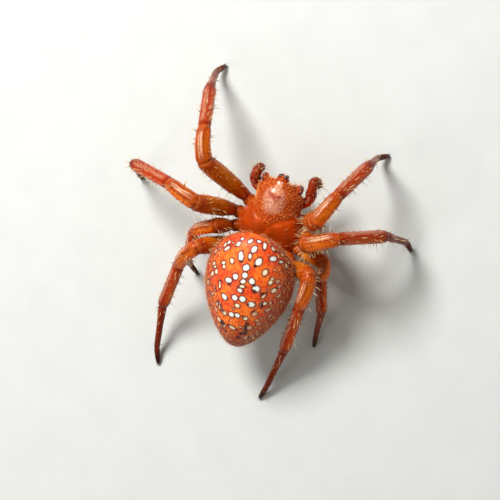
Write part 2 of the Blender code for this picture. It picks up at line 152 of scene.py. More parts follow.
class Graph:
    """Adds nodes to a tree, with shader or Geometry Nodes names."""

    def __init__(self, tree, family="Shader"):
        self.tree = tree
        self.family = family

    def node(self, kind, inputs=None, out=0, stops=None, **settings):
        """Adds a node and gives one of its outputs. An input of None stays as it is."""
        family = "Shader" if kind in SHARED_KINDS else self.family
        made = self.tree.nodes.new(kind if kind.startswith("Function") else family + "Node" + kind)
        for name, setting in settings.items():
            setattr(made, name, setting)
        if stops:
            ramp = made.color_ramp
            while len(ramp.elements) < len(stops):
                ramp.elements.new(1.0)
            for element, (place, colour) in zip(ramp.elements, stops):
                element.position = place
                element.color = colour
        for name, value in (inputs or {}).items():
            if isinstance(value, Value):
                self.tree.links.new(value.socket, made.inputs[name])
            elif value is not None:
                made.inputs[name].default_value = value
        return Value(self, made.outputs[out])

    def vector(self, operation, first, second=None, scale=None):
        inputs = {0: first, 1: second, "Scale": scale}
        return self.node("VectorMath", inputs, operation=operation)


def tone(red, green, blue):
    """A colour written as 0 to 255, in the linear values that nodes use."""
    linear = [((c / 255 + 0.055) / 1.055) ** 2.4 if c > 10 else c / 255 / 12.92
              for c in (red, green, blue)]
    return (*linear, 1.0)


class Finish(Graph):
    """A material's nodes, with its shader and its pattern coordinates in millimetres."""

    def __init__(self, name, roughness, **constants):
        self.material = bpy.data.materials.new(name)
        self.material.use_nodes = True
        super().__init__(self.material.node_tree)
        self.shader = self.tree.nodes["Principled BSDF"]
        for label, value in {"Roughness": roughness, **constants}.items():
            self.shader.inputs[label.replace("_", " ")].default_value = value
        self.here = self.vector("SCALE", self.node("TexCoord", out="Object"), scale=1 / MM)

    def attribute(self, name):
        return self.node("Attribute", attribute_name=name, out="Fac")

    def noise(self, scale, detail, place=None):
        inputs = {"Vector": place or self.here, "Scale": scale, "Detail": detail}
        return self.node("TexNoise", inputs)

    def cells(self, scale, **settings):
        return self.node("TexVoronoi", {"Vector": self.here, "Scale": scale}, **settings)

    def mix(self, share, first, second):
        """Blends two colours by a share from 0 to 1."""
        inputs = {"Factor": share, 6: first, 7: second}
        return self.node("Mix", inputs, out=2, data_type="RGBA")

    def paint(self, colour, *layers):
        """Lays tints over a colour one after another, each as strong as its mask."""
        for mask, tint in layers:
            colour = self.mix(mask, colour, tone(*tint))
        return colour

    def wire(self, **values):
        """Leads values into the shader and gives the finished material."""
        for label, value in values.items():
            self.tree.links.new(value.socket, self.shader.inputs[label.replace("_", " ")])
        return self.material


# %% [markdown]
# ## The pose
# The legs stand as in the photograph. Each leg has a base on the body and five segments, each
# with a heading and a height at its end, the same numbers that the solids were made from, so
# that the skin follows the solids closely.

# %% Joints of the legs
CEPH_CENTRE, CEPH_YAW = (-0.79, -1.50), 6.3
LEG_BASE_Z = 2.85
STERNUM_CENTRE = (0.0, 0.70, 2.95)
FOOT_Z = 0.14
COXA_ROOT = 0.45
SEGMENTS = ("femur", "patella", "tibia", "metatarsus", "tarsus")
LEG_BASES = {1: (2.24, -0.42), 2: (2.66, 0.66), 3: (2.56, 1.68), 4: (2.14, 2.66)}
SEGMENT_LENGTHS = {
    1: (4.51, 2.11, 3.84, 3.39, 0.97),
    2: (4.21, 2.11, 3.90, 3.34, 0.98),
    3: (2.37, 1.44, 2.42, 2.11, 1.00),
    4: (3.28, 2.31, 3.64, 3.17, 1.08),
}
GIRTH = {1: 1.0, 2: 1.0, 3: 0.85, 4: 0.92}
PATELLA_ARCH = 0.09
POSE = {
    (1, "left"): ((-31, -76, -69, -61, -118), (6.52, 6.63, 3.98, 0.91)),
    (2, "left"): ((9, -21, -12, 34, 108), (6.76, 6.49, 4.33, 1.05)),
    (3, "left"): ((37, 28, 76, 63, 130), (5.16, 4.73, 3.00, 0.95)),
    (4, "left"): ((33, 49, 72, 88, 104), (5.77, 4.33, 2.19, 0.59)),
    (1, "right"): ((176, -116, -109, -66, -146), (7.18, 7.11, 4.21, 0.91)),
    (2, "right"): ((151, -157, -157, -179, 120), (6.97, 7.34, 4.25, 0.99)),
    (3, "right"): ((176, 87, 98, 79, 84), (4.48, 3.57, 2.31, 0.79)),
    (4, "right"): ((171, 81, 76, 71, 67), (5.54, 4.52, 2.46, 0.70)),
}


def from_carapace(point):
    """A point of the carapace's frame in the animal's frame."""
    turn = Matrix.Rotation(math.radians(-CEPH_YAW), 3, "Z")
    return turn @ Vector(point) + Vector((*CEPH_CENTRE, 0.0))


def leg_joints(number, side):
    """The joints of a leg: deep in the body, at its base, its four knees and its foot."""
    x, y = LEG_BASES[number]
    sign = 1.0 if side == "left" else -1.0
    base = from_carapace((sign * x, y, LEG_BASE_Z))
    middle = from_carapace(STERNUM_CENTRE)
    middle.z = LEG_BASE_Z
    joints = [middle.lerp(base, COXA_ROOT), base]
    headings, heights = POSE[number, side]
    for length, heading, height in zip(SEGMENT_LENGTHS[number], headings, (*heights, FOOT_Z)):
        rise = height - joints[-1].z
        run = math.sqrt(length * length - rise * rise)
        angle = math.radians(heading)
        joints.append(joints[-1] + Vector((run * math.cos(angle), run * math.sin(angle), rise)))
    return joints


print("first left knee at", [round(v, 2) for v in leg_joints(1, "left")[2]], "mm")

# %% [markdown]
# ## One skin
# A spider's cuticle is one closed skin that narrows at each joint. It is built here from
# rings of points laid along the limbs and the body, which gives exact control over every
# swelling and leaves a tidy map of the surface. A small collector gathers all rings in one
# mesh, with what each point knows about itself: how far along a limb it lies, which way the
# hairs lie there and how dense they stand.

# %% The collector for rings of points
NOTES = ("along", "upper", "side", "bristly", "downy", "fuzzy", "bare", "stain", "spot",
         "paleness", "ink")
SHEET = 20.0
POLE_STRIP = 0.02


def around(sides):
    """The angles of points that stand evenly round a ring."""
    return 2 * np.pi * np.arange(sides) / sides


def pole_to_pole(rows):
    """The angles of rings that close in on both poles of a ball without touching them."""
    return np.pi * (np.arange(rows) + 0.5) / rows


def ring_quads(rows, sides):
    """Each point's number, the number of its neighbour on the ring, and all quads."""
    index = np.arange(rows * sides).reshape(rows, sides)
    after = np.roll(index, -1, axis=1)
    quads = np.stack([index[:-1], after[:-1], after[1:], index[1:]], axis=-1).reshape(-1, 4)
    return index, after, quads


class Skin:
    """Gathers closed shells, each made of rings of points, in one mesh."""

    def __init__(self):
        self.points = []
        self.faces = []
        self.corners = []
        self.finishes = []
        self.lie = []
        self.notes = {name: [] for name in NOTES}
        self.count = 0

    def add(self, rings, lie, finish, place, size, **notes):
        """Adds one shell. Place and size are its patch on the flat map, in millimetres."""
        rows, sides = rings.shape[:2]
        ends = (rings[0].mean(axis=0), rings[-1].mean(axis=0))
        index, after, quads = ring_quads(rows, sides)
        u = np.arange(sides + 1) / sides
        v = np.linspace(POLE_STRIP, 1.0 - POLE_STRIP, rows)
        shape = (rows - 1, sides, 4)
        quad_u = np.broadcast_to(np.stack([u[:-1], u[1:], u[1:], u[:-1]], axis=-1), shape)
        quad_v = np.stack([v[:-1], v[:-1], v[1:], v[1:]], axis=-1)[:, None]
        flat = np.stack([quad_u, np.broadcast_to(quad_v, shape)], axis=-1).reshape(-1, 4, 2)
        inward = np.cross(rings[:-1] - ends[0], np.roll(rings, -1, axis=1)[:-1] - ends[0])
        volume = (inward * (rings[1:] - ends[0])).sum()
        order = [0, 1, 2, 3] if volume > 0 else [3, 2, 1, 0]
        faces = (quads[:, order] + self.count).tolist()
        corners = flat[:, order].reshape(-1, 2).tolist()
        for pole, row, v_pole in ((rows * sides, 0, 0.0), (rows * sides + 1, -1, 1.0)):
            for j in range(sides):
                corner = [(pole, (j + 0.5) / sides, v_pole), (index[row, j], j / sides, v[row]),
                          (after[row, j], (j + 1) / sides, v[row])]
                if (row == 0) == (volume > 0):
                    corner.reverse()
                faces.append([int(c[0]) + self.count for c in corner])
                corners += [c[1:] for c in corner]
        self.points.append(np.concatenate([rings.reshape(-1, 3), ends]))
        self.faces += faces
        self.corners.append((np.array(corners) * size + place) / SHEET)
        self.finishes += [finish] * len(faces)
        lie = np.broadcast_to(lie, rings.shape)
        self.lie.append(np.concatenate([lie.reshape(-1, 3), lie[0, :1], lie[-1, :1]]))
        for name in NOTES:
            note = np.broadcast_to(notes.get(name, 0.0), (rows, sides))
            tips = (note[0].mean(), note[-1].mean())
            self.notes[name].append(np.concatenate([note.ravel(), tips]))
        self.count += rows * sides + 2

    def mesh(self, name, materials):
        made = bpy.data.meshes.new(name)
        made.from_pydata((np.concatenate(self.points) * MM).tolist(), [], self.faces)
        layer = made.uv_layers.new(name="OFBake")
        layer.data.foreach_set("uv", np.concatenate(self.corners).ravel())
        for material in materials:
            made.materials.append(material)
        made.polygons.foreach_set("material_index", self.finishes)
        lie = made.attributes.new("lie", "FLOAT_VECTOR", "POINT")
        lie.data.foreach_set("vector", np.concatenate(self.lie).ravel())
        for note, values in self.notes.items():
            field = made.attributes.new(note, "FLOAT", "POINT")
            field.data.foreach_set("value", np.concatenate(values))
        made.shade_smooth()
        made.update()
        return made


skin = Skin()
CUTICLE, ABDOMEN = 0, 1


def ease(x):
    x = np.clip(x, 0.0, 1.0)
    return x * x * (3.0 - 2.0 * x)


def read_profile(profile, t):
    """Reads a list of (share, value) at t, eased between its points."""
    shares, values = np.array(profile).T
    k = np.clip(np.searchsorted(shares, t, side="right") - 1, 0, len(shares) - 2)
    part = ease((t - shares[k]) / (shares[k + 1] - shares[k]))
    return values[k] + (values[k + 1] - values[k]) * part


def turned(points, yaw, centre=(0.0, 0.0)):
    """Turns points or directions about the vertical, then moves them to a centre."""
    turn = np.array(Matrix.Rotation(math.radians(-yaw), 3, "Z"))
    return points @ turn.T + np.array((*centre, 0.0))


# %% [markdown]
# ## Legs
# Every leg is one tube. Its path follows the joints and turns smoothly at each of them, and
# its radius pinches in at the joint and flares just before and after it, as the cuticle does
# round the soft hinge. Every ring starts on the side that looks up, so the upper side of the
# leg is known all the way out to the foot.

# %% Rings along a bent path
COXA_PROFILE = ((0.0, 0.34), (0.55, 0.42), (0.80, 0.44), (0.90, 0.36), (0.95, 0.39), (1.0, 0.35))
PROFILES = {
    "femur": ((0.0, 0.35), (0.04, 0.41), (0.12, 0.46), (0.35, 0.56), (0.7, 0.60), (0.90, 0.56),
              (0.97, 0.53), (1.0, 0.48)),
    "patella": ((0.0, 0.47), (0.08, 0.52), (0.25, 0.51), (0.5, 0.49), (0.75, 0.47), (0.94, 0.43),
                (1.0, 0.39)),
    "tibia": ((0.0, 0.37), (0.06, 0.41), (0.25, 0.41), (0.6, 0.41), (0.85, 0.42), (0.95, 0.39),
              (1.0, 0.30)),
    "metatarsus": ((0.0, 0.27), (0.05, 0.31), (0.15, 0.28), (0.5, 0.23), (0.95, 0.21),
                   (1.0, 0.18)),
    "tarsus": ((0.0, 0.17), (0.08, 0.20), (0.5, 0.19), (0.85, 0.16), (1.0, 0.11)),
}
RING_STEP = 0.085
TURN = 0.30
TURN_SHARE = 0.3
TURN_STEPS = 7
LEG_SIDES = 24


def bent_path(joints, turn=TURN):
    """Points along straight runs that turn smoothly at each joint, with the place of each
    as joint number plus share of the run."""
    points, places = [], []
    for i, (start, end) in enumerate(zip(joints, joints[1:])):
        length = (end - start).length
        reach = min(turn, length * TURN_SHARE)
        first = reach if i else 0.0
        last = reach if i < len(joints) - 2 else 0.0
        straight = length - first - last
        steps = max(3, int(straight / RING_STEP))
        for k in range(steps + 1):
            t = (first + straight * k / steps) / length
            points.append(start.lerp(end, t))
            places.append(i + t)
        if last:
            onward = joints[i + 2] - end
            leave = min(turn, onward.length * TURN_SHARE)
            a = end + (start - end).normalized() * last
            b = end + onward.normalized() * leave
            for k in range(1, TURN_STEPS):
                t = k / TURN_STEPS
                points.append(a * (1 - t) ** 2 + end * 2 * t * (1 - t) + b * t ** 2)
                share = last / length if t < 0.5 else leave / onward.length
                places.append(i + 1 + share * (2 * t - 1))
    return np.array(points), np.array(places)


def tube(points, radii, sides, up=(0.0, 0.0, 1.0)):
    """Rings about a path. The first point of each ring is on the side that looks `up`."""
    ways = np.gradient(points, axis=0)
    ways /= np.linalg.norm(ways, axis=1)[:, None]
    upper = np.array(up) - ways * (ways @ np.array(up))[:, None]
    upper /= np.linalg.norm(upper, axis=1)[:, None]
    angles = around(sides)[None, :, None]
    ring = np.cos(angles) * upper[:, None] + np.sin(angles) * np.cross(ways, upper)[:, None]
    return points[:, None] + np.array(radii)[:, None, None] * ring, ways


def near_joint(places, reach):
    """Rises from 0 at every joint to 1 at some reach from it."""
    return ease(np.abs(places - np.round(places)) / reach)


# %% Eight legs
LEG_STRIP, LEG_STRIP_STEP = (2.1, 9.9), 2.2
LEG_BACK = (0.22, -0.38, 0.90)
LEG_BRISTLES = ((0.0, 0.0), (0.95, 0.0), (1.1, 0.45), (1.9, 0.55), (2.1, 0.45), (2.9, 0.6),
                (3.1, 1.0), (4.0, 0.65), (4.3, 0.3), (5.5, 0.22), (6.0, 0.15))


def leg_radius(places, girth):
    """The radius at each place along a leg, from the coxa to the foot."""
    radii = np.empty(len(places))
    for i, profile in enumerate((COXA_PROFILE, *(PROFILES[kind] for kind in SEGMENTS))):
        here = (places >= i) & (places <= i + 1)
        scale = girth ** 0.5 if i == 0 else girth
        radii[here] = read_profile(profile, places[here] - i) * scale
    return radii


def arched(path, places, joints):
    """The patella of a leg lifted out of its straight line, most in its middle."""
    knee, end = joints[2], joints[3]
    axis = (end - knee).normalized()
    out = (knee + end - joints[1] - joints[4]) / 2
    out = (out - axis * out.dot(axis)).normalized() * PATELLA_ARCH * (end - knee).length
    share = np.sin(np.pi * np.clip(places - 2, 0.0, 1.0)) ** 1.5
    return path + share[:, None] * np.array(out)


angles = around(LEG_SIDES)
for strip, (number, side) in enumerate(POSE):
    joints = leg_joints(number, side)
    path, places = bent_path(joints)
    path = arched(path, places, joints)
    rings, ways = tube(path, leg_radius(places, GIRTH[number]), LEG_SIDES, up=LEG_BACK)
    rings[:, :, 2] = np.maximum(rings[:, :, 2], 0.0)
    hairy = 0.5 * read_profile(LEG_BRISTLES, places) * near_joint(places, 0.06)
    skin.add(rings, ways[:, None], CUTICLE, (0.05 + strip * LEG_STRIP_STEP, 0.05), LEG_STRIP,
             along=places[:, None], upper=np.cos(angles), side=np.sin(angles),
             bristly=hairy[:, None])
print("legs", len(POSE), "points so far", skin.count)

# %% [markdown]
# ## Carapace
# The shield over the front of the body has a raised head in front and a lower, rounder
# thorax behind it. A V of shallow grooves parts the two, a small pit lies on the middle line
# behind the V, and faint furrows run out from the pit to the legs. In front the head carries
# a knob for the four middle eyes and a small knob at each corner for two side eyes.

# %% Carapace surface
FACE_Y, BROW_Y, SADDLE_Y, REAR_Y = -2.05, -1.2, 0.6, 2.38
HEAD_HALF_WIDTH, THORAX_HALF_WIDTH = 1.48, 2.05
THORAX_WIDEST_Y, THORAX_FRONT_LENGTH, THORAX_REAR_LENGTH = 0.95, 2.0, 1.5
FACE_NARROWING = 0.32
HEAD_TOP_Z, THORAX_TOP_Z, REAR_TOP_Z = 4.95, 4.45, 3.60
MARGIN_Z, CLYPEUS_Z = 3.10, 3.80
UNDERSIDE_SAG = 0.08
GROOVE_DEPTH, FURROW_DEPTH, PIT_DEPTH = 0.10, 0.03, 0.12
GROOVE_POINT_Y, GROOVE_SLOPE = 1.05, 0.85
PIT_Y = 1.22
BARE_Y, BARE_HALF_WIDTH, BARE_HALF_LENGTH = -0.80, 0.74, 0.86
MARK_Y = -1.02


def carapace_half_width(y):
    head = HEAD_HALF_WIDTH * (1.0 - FACE_NARROWING * ease((-1.3 - y) / 0.75))
    behind = y - THORAX_WIDEST_Y
    u = behind / np.where(behind > 0, THORAX_REAR_LENGTH, THORAX_FRONT_LENGTH)
    thorax = THORAX_HALF_WIDTH * np.sqrt(np.clip(1.0 - u * u, 0.0, 1.0))
    return np.maximum(np.where(y < 0.0, head, 0.0), thorax)


def carapace_top(y):
    head = HEAD_TOP_Z - 0.20 * ease((BROW_Y - y) / 0.85)
    middle = HEAD_TOP_Z + (THORAX_TOP_Z - HEAD_TOP_Z) * ease((y - BROW_Y) / 1.8)
    rear = THORAX_TOP_Z + (REAR_TOP_Z - THORAX_TOP_Z) * ease((y - SADDLE_Y) / 1.75)
    return np.where(y < BROW_Y, head, np.where(y < SADDLE_Y, middle, rear))


def hump(distance, width):
    return np.exp(-(distance / width) ** 2)


def carapace_relief(x, y):
    """How far the surface is sunk at x, y by the grooves and the pit."""
    groove_y = GROOVE_POINT_Y - GROOVE_SLOPE * np.sqrt(x * x + 0.01)
    groove = hump((y - groove_y) * 0.76, 0.20) * ease((1.75 - np.abs(x)) / 0.5)
    angle = np.arctan2(np.abs(x), y - PIT_Y)
    reach = np.hypot(x, y - PIT_Y)
    furrows = (0.5 - 0.5 * np.cos(angle * 8.0)) * ease(reach / 0.5) * ease((1.8 - reach) / 0.6)
    furrows = furrows * ease((y - groove_y) / 0.35)
    pit = hump(x, 0.12) * hump(y - PIT_Y, 0.26)
    return GROOVE_DEPTH * groove + FURROW_DEPTH * furrows + PIT_DEPTH * pit


def carapace_rings(rows=112, sides=104):
    y = FACE_Y + (REAR_Y - FACE_Y) * (0.5 - 0.5 * np.cos(pole_to_pole(rows)))
    y = y[:, None] + np.zeros(sides)
    dome = np.broadcast_to(np.cos(around(sides)), y.shape)
    under = MARGIN_Z + (CLYPEUS_Z - MARGIN_Z) * ease((-0.7 - y) / 0.9)
    x = carapace_half_width(y) * np.sin(around(sides))
    rise = (carapace_top(y) - under) * np.where(dome > 0, dome, dome * UNDERSIDE_SAG)
    z = under + rise - carapace_relief(x, y) * ease(dome / 0.3)
    rim = 0.05 * hump(dome - 0.05, 0.10)
    return np.stack([x * (1.0 + rim), y, z], axis=-1), dome


def into_frame(points):
    """Moves an array of points from the carapace's frame to the animal's."""
    return turned(points, CEPH_YAW, CEPH_CENTRE)


shield, dome = carapace_rings()
x, y = shield[..., 0], shield[..., 1]
head_area = ease((GROOVE_POINT_Y - GROOVE_SLOPE * np.abs(x) - y) / 0.35)
hair_lie = np.stack([0.75 * np.sign(x) * ease(np.abs(x) / 0.4), np.full(dome.shape, -0.8),
                     0.15 * dome], axis=-1)
oval = np.sqrt((x / BARE_HALF_WIDTH) ** 2 + ((y - BARE_Y) / BARE_HALF_LENGTH) ** 2)
stalk = np.abs(x) / 0.18 + 2 * ease((y - BARE_Y) / 0.3) + ease((-2.15 - y) / 0.2)
bare = ease((1.20 - np.minimum(oval, stalk)) / 0.42) * ease(dome / 0.3)
marks = hump(y - MARK_Y - 0.07 * np.cos(x * 9.0), 0.13) * ease((0.52 - np.abs(x)) / 0.15)
skin.add(into_frame(shield), turned(hair_lie, CEPH_YAW), CUTICLE, (13.65, 10.1), (6.3, 4.6),
         along=0.45, upper=dome, bare=bare, stain=marks * ease(dome / 0.3),
         downy=ease(dome / 0.25) * (0.12 + 0.88 * head_area) * (1.0 - 0.85 * bare))
print("carapace rows", shield.shape)

# %% [markdown]
# ## Small shells of the front body
# The breast plate, the mouthparts, the eye knobs and the jaws are swollen, simple forms. Each
# is a closed shell whose root lies inside its neighbour, so they meet in the natural creases.

# %% Egg-shaped shells
EGG_ROWS, EGG_SIDES = 18, 24
MOUTH, KNOB = {"bristly": 0.25}, {"downy": 0.6, "stain": 0.35}
EGGS = {
    "sternum": (STERNUM_CENTRE, (1.00, 1.65, 0.80), MOUTH),
    "mouthparts_left": ((0.30, -0.74, 2.72), (0.34, 0.46, 0.42), MOUTH),
    "mouthparts_right": ((-0.30, -0.74, 2.72), (0.34, 0.46, 0.42), MOUTH),
    "lip": ((0.0, -0.40, 2.45), (0.26, 0.34, 0.22), MOUTH),
    "middle_knob": ((0.0, -2.17, 4.42), (0.40, 0.30, 0.37), KNOB),
    "left_knob": ((1.18, -1.94, 4.10), (0.24, 0.32, 0.22), KNOB),
    "right_knob": ((-1.18, -1.94, 4.10), (0.24, 0.32, 0.22), KNOB),
    "waist": ((0.0, 2.22, 3.22), (0.36, 0.55, 0.34), {}),
}
EGG_LIE = turned(np.array((0.0, -1.0, 0.2)), CEPH_YAW)


def egg(centre, half_size):
    """Rings of an ellipsoid along the body, in the carapace's frame."""
    back, turn = pole_to_pole(EGG_ROWS)[:, None], around(EGG_SIDES)
    rings = np.stack([np.sin(back) * np.cos(turn), -np.cos(back) + 0 * turn,
                      np.sin(back) * np.sin(turn)], axis=-1)
    return rings * half_size + centre


for k, (centre, half_size, notes) in enumerate(EGGS.values()):
    skin.add(into_frame(egg(centre, half_size)), EGG_LIE, CUTICLE,
             (13.65 + 1.4 * (k % 4), 14.9 + 1.4 * (k // 4)), (1.3, 1.3), along=0.5, **notes)

# %% Jaws, each with a swollen base that narrows to the fang
CHELICERA_X, CHELICERA_LENGTH, CHELICERA_TOP_Z = 0.62, 1.75, 3.36
CHELICERA_Y = (-1.72, -1.80)
CHELICERA_HALF_WIDTH, CHELICERA_HALF_DEPTH = 0.455, 0.415
CHELICERA_SWELL = ((-0.35, 0.55), (0.0, 0.80), (0.12, 0.94), (0.35, 1.0), (0.65, 0.90),
                   (0.88, 0.72), (1.0, 0.50))
CHELICERA_ROWS, CHELICERA_SIDES = 24, 28
t = np.linspace(-0.3, 1.0, CHELICERA_ROWS)[:, None]
swell = read_profile(CHELICERA_SWELL, t)
angles = around(CHELICERA_SIDES)
for k, sign in enumerate((1.0, -1.0)):
    x = sign * (CHELICERA_X - 0.08 * t) + CHELICERA_HALF_WIDTH * np.sin(angles) * swell
    y = CHELICERA_Y[0] + (CHELICERA_Y[1] - CHELICERA_Y[0]) * t
    y = y + CHELICERA_HALF_DEPTH * np.cos(angles) * swell
    z = CHELICERA_TOP_Z - CHELICERA_LENGTH * t + 0 * x
    skin.add(into_frame(np.stack([x, y, z], axis=-1)), (0.0, -0.2, -1.0), CUTICLE,
             (17.75 + 1.1 * k, 4.3), (1.0, 2.4), along=0.55, bristly=0.6 * ease(t / 0.3))

# %% Palps, short feelers beside the jaws
PALP_RADIUS, PALP_TURN, PALP_SIDES = 0.33, 0.22, 20
PALPS = {
    "left": ((1.14, -0.98, 2.75), (1.90, -1.46, 3.40), (1.90, -1.90, 3.80),
             (1.88, -2.28, 3.72), (1.88, -2.55, 3.05)),
    "right": ((-1.14, -0.98, 2.75), (-1.84, -1.58, 3.35), (-1.84, -2.22, 3.85),
              (-1.78, -2.85, 3.85), (-2.12, -2.62, 3.15)),
}
PALP_PROFILE = ((0.0, 0.85), (0.4, 0.95), (0.9, 0.97), (1.0, 0.80), (1.1, 0.95), (1.5, 1.12),
                (1.92, 1.0), (2.0, 0.85), (2.1, 0.95), (2.5, 1.0), (2.93, 0.95), (3.0, 0.80),
                (3.1, 0.90), (3.4, 0.95), (3.8, 0.72), (4.0, 0.35))
angles = around(PALP_SIDES)
for k, joints in enumerate(PALPS.values()):
    path, places = bent_path([from_carapace(p) for p in joints], PALP_TURN)
    rings, ways = tube(path, PALP_RADIUS * read_profile(PALP_PROFILE, places), PALP_SIDES)
    hairy = 3.2 * ease((places - 1.4) / 0.8) * near_joint(places, 0.08)
    skin.add(rings, ways[:, None], CUTICLE, (17.75 + 1.1 * k, 0.05), (1.0, 4.1),
             along=(3.08 + 0.5 * places)[:, None], upper=np.cos(angles), side=np.sin(angles),
             bristly=hairy[:, None])
print("front body, points so far", skin.count)

# %% [markdown]
# ## Abdomen
# The abdomen is egg-shaped, blunt and high over the waist and pointed behind. Its length runs
# from c = 1 in front to c = -1 at the tip, and each cross-section is a slightly flattened
# circle. The points of each ring stand closer together on the upper side, where the spots
# will be.

# %% Abdomen surface
ABDOMEN_CENTRE, ABDOMEN_YAW = (-0.70, 3.57), 1.0
ABDOMEN_LENGTH, ABDOMEN_HALF_WIDTH, ABDOMEN_HALF_HEIGHT = 7.1, 2.88, 2.55
ABDOMEN_AXIS_Z, ABDOMEN_FRONT_LIFT = 4.65, 1.15
BELLY_FLATNESS, BELLY_NARROWING = 0.93, 0.22


def abdomen_points(c, angle):
    """Points of the surface, the angle counted from the upper side."""
    swell = np.sqrt(np.clip(1.0 - c * c, 0.0, 1.0))
    width = ABDOMEN_HALF_WIDTH * swell * (0.95 + 0.28 * c - 0.05 * c * c)
    height = ABDOMEN_HALF_HEIGHT * swell * (0.93 + 0.25 * c)
    axis_z = ABDOMEN_AXIS_Z + 0.55 * c + ABDOMEN_FRONT_LIFT * np.clip(c, 0.0, 1.0) ** 3
    below = np.clip(-np.cos(angle), 0.0, 1.0)
    flat = np.where(below > 0, BELLY_FLATNESS, 1.0)
    x = width * (1.0 - BELLY_NARROWING * below) * np.sin(angle)
    z = axis_z + flat * height * np.cos(angle)
    local = np.stack([x, -c * ABDOMEN_LENGTH / 2 + 0 * x, z], axis=-1)
    return turned(local, ABDOMEN_YAW, ABDOMEN_CENTRE)


ABDOMEN_ROWS, ABDOMEN_SIDES = 170, 216
c = -np.cos(pole_to_pole(ABDOMEN_ROWS))[:, None]
angle = around(ABDOMEN_SIDES)
angle = angle - 0.40 * np.sin(angle)
abdomen_rings = abdomen_points(c, angle)
backwards = abdomen_points(c - 0.01, angle) - abdomen_points(c + 0.01, angle)
backwards /= np.linalg.norm(backwards, axis=-1)[..., None]
print("abdomen rings", abdomen_rings.shape)

# %% [markdown]
# ## Spots
# The species carries white spots ringed in dark purple on its orange back, a row of them
# shaped like a cross, and a few black dots where muscles are tied to the skin. Each spot is
# an oval, written down where the photograph shows it, as its centre, its half length and half
# width in pixels and its tilt. A look through the camera finds the place on the surface. Every
# point of the abdomen then stores how far it lies outside the nearest spot, in millimetres,
# and the material draws a crisp edge and a ring from that one number.

# %% Where the spots lie
WHITE_SPOTS = (
    (242.3, 238.9, 2.1, 1.4, -10), (250.6, 241, 2.8, 2.1, -40), (259.1, 241.4, 2.3, 1.7, -10),
    (265.1, 246, 3.2, 2.1, -72), (273.2, 248.8, 2.3, 1.8, 20), (238.4, 244, 2.8, 2.1, -20),
    (229.2, 242.2, 2.3, 1.2, -40), (225.1, 244.7, 2.2, 1.2, -35), (227.1, 248.4, 3.2, 1.9, -10),
    (254.3, 249.2, 4, 2.8, -52), (250, 256.3, 3.3, 1.9, -80), (241, 256.2, 5.1, 2.7, -88),
    (258.7, 262, 4.6, 3.3, -60), (273.4, 258.8, 3.5, 2.9, 0), (281.1, 262, 1.9, 1.7, 0),
    (246.2, 267.8, 3.8, 3.4, -30), (244.8, 275.4, 3.2, 3, 0), (235.4, 276.6, 3.2, 2.8, 60),
    (243.1, 281.5, 3, 2.2, -10), (252, 281.4, 3.3, 3, 80), (240, 290.6, 3.2, 2.1, 15),
    (224.3, 296.9, 3.2, 2.5, 20), (234.7, 297.7, 3.4, 2.8, 20), (242.5, 299.2, 3.6, 2.9, 25),
    (251.4, 304.6, 4, 2.7, 12), (231.5, 314.7, 3.1, 2.2, 30), (237.3, 315.4, 3.1, 2.2, 30),
    (228.4, 280.3, 3.5, 2.8, 0), (256.1, 288.8, 4.1, 3, 25),
)
CREAM_SPOTS = (
    (233.3, 242.8, 1.3, 1, -30), (220.1, 248.9, 1.2, 0.8, -60), (216, 251.1, 3, 0.7, -65),
    (282.5, 254.8, 1.8, 1.2, 60), (277.9, 252.2, 1, 0.7, 0), (286.2, 266, 2.5, 1.2, 60),
    (288.6, 262.7, 2, 0.8, 75), (231.8, 260.9, 3, 2.1, 85), (223.5, 262.7, 2.2, 2, 0),
    (224, 266.6, 2, 1.6, 60), (214.1, 263.5, 1.8, 1.3, 80), (214.9, 266.7, 1.7, 1.4, 0),
    (216.3, 271.6, 2.2, 1.6, 60), (212.4, 273.5, 2.6, 1.3, 80), (265.3, 272.7, 3.6, 2.5, -60),
    (241.9, 286.5, 3.2, 1.7, 0), (272.1, 279, 1.8, 1.7, 0), (270.5, 282.8, 2.7, 2.2, -40),
    (274, 290.7, 2.7, 2.4, 0), (219.7, 282.8, 1.8, 1, 70), (219.9, 285.9, 2.7, 1.2, -70),
    (214.9, 290.1, 1.2, 1, 0), (212.4, 293.4, 1.4, 1.2, 0), (208.1, 282, 2.2, 0.7, 75),
    (237.3, 305.8, 2.8, 2.2, 10), (263.4, 296.7, 2.5, 1.4, -40), (264.3, 294.9, 1.8, 0.7, 0),
    (261.2, 302.9, 1.3, 0.7, -60), (260.9, 305.4, 1.8, 0.7, 80), (264.8, 303.7, 2.1, 2, 0),
    (217, 303.7, 1.7, 1, -60), (219.9, 302.9, 1.8, 0.8, 60), (219.7, 307.1, 2.2, 0.8, -75),
    (224, 312.7, 2.2, 2.1, 0), (245.4, 318.7, 2.4, 2, -20), (219.1, 319.5, 3, 1.2, 60),
    (232.2, 327.6, 4.4, 1.3, 22),
)
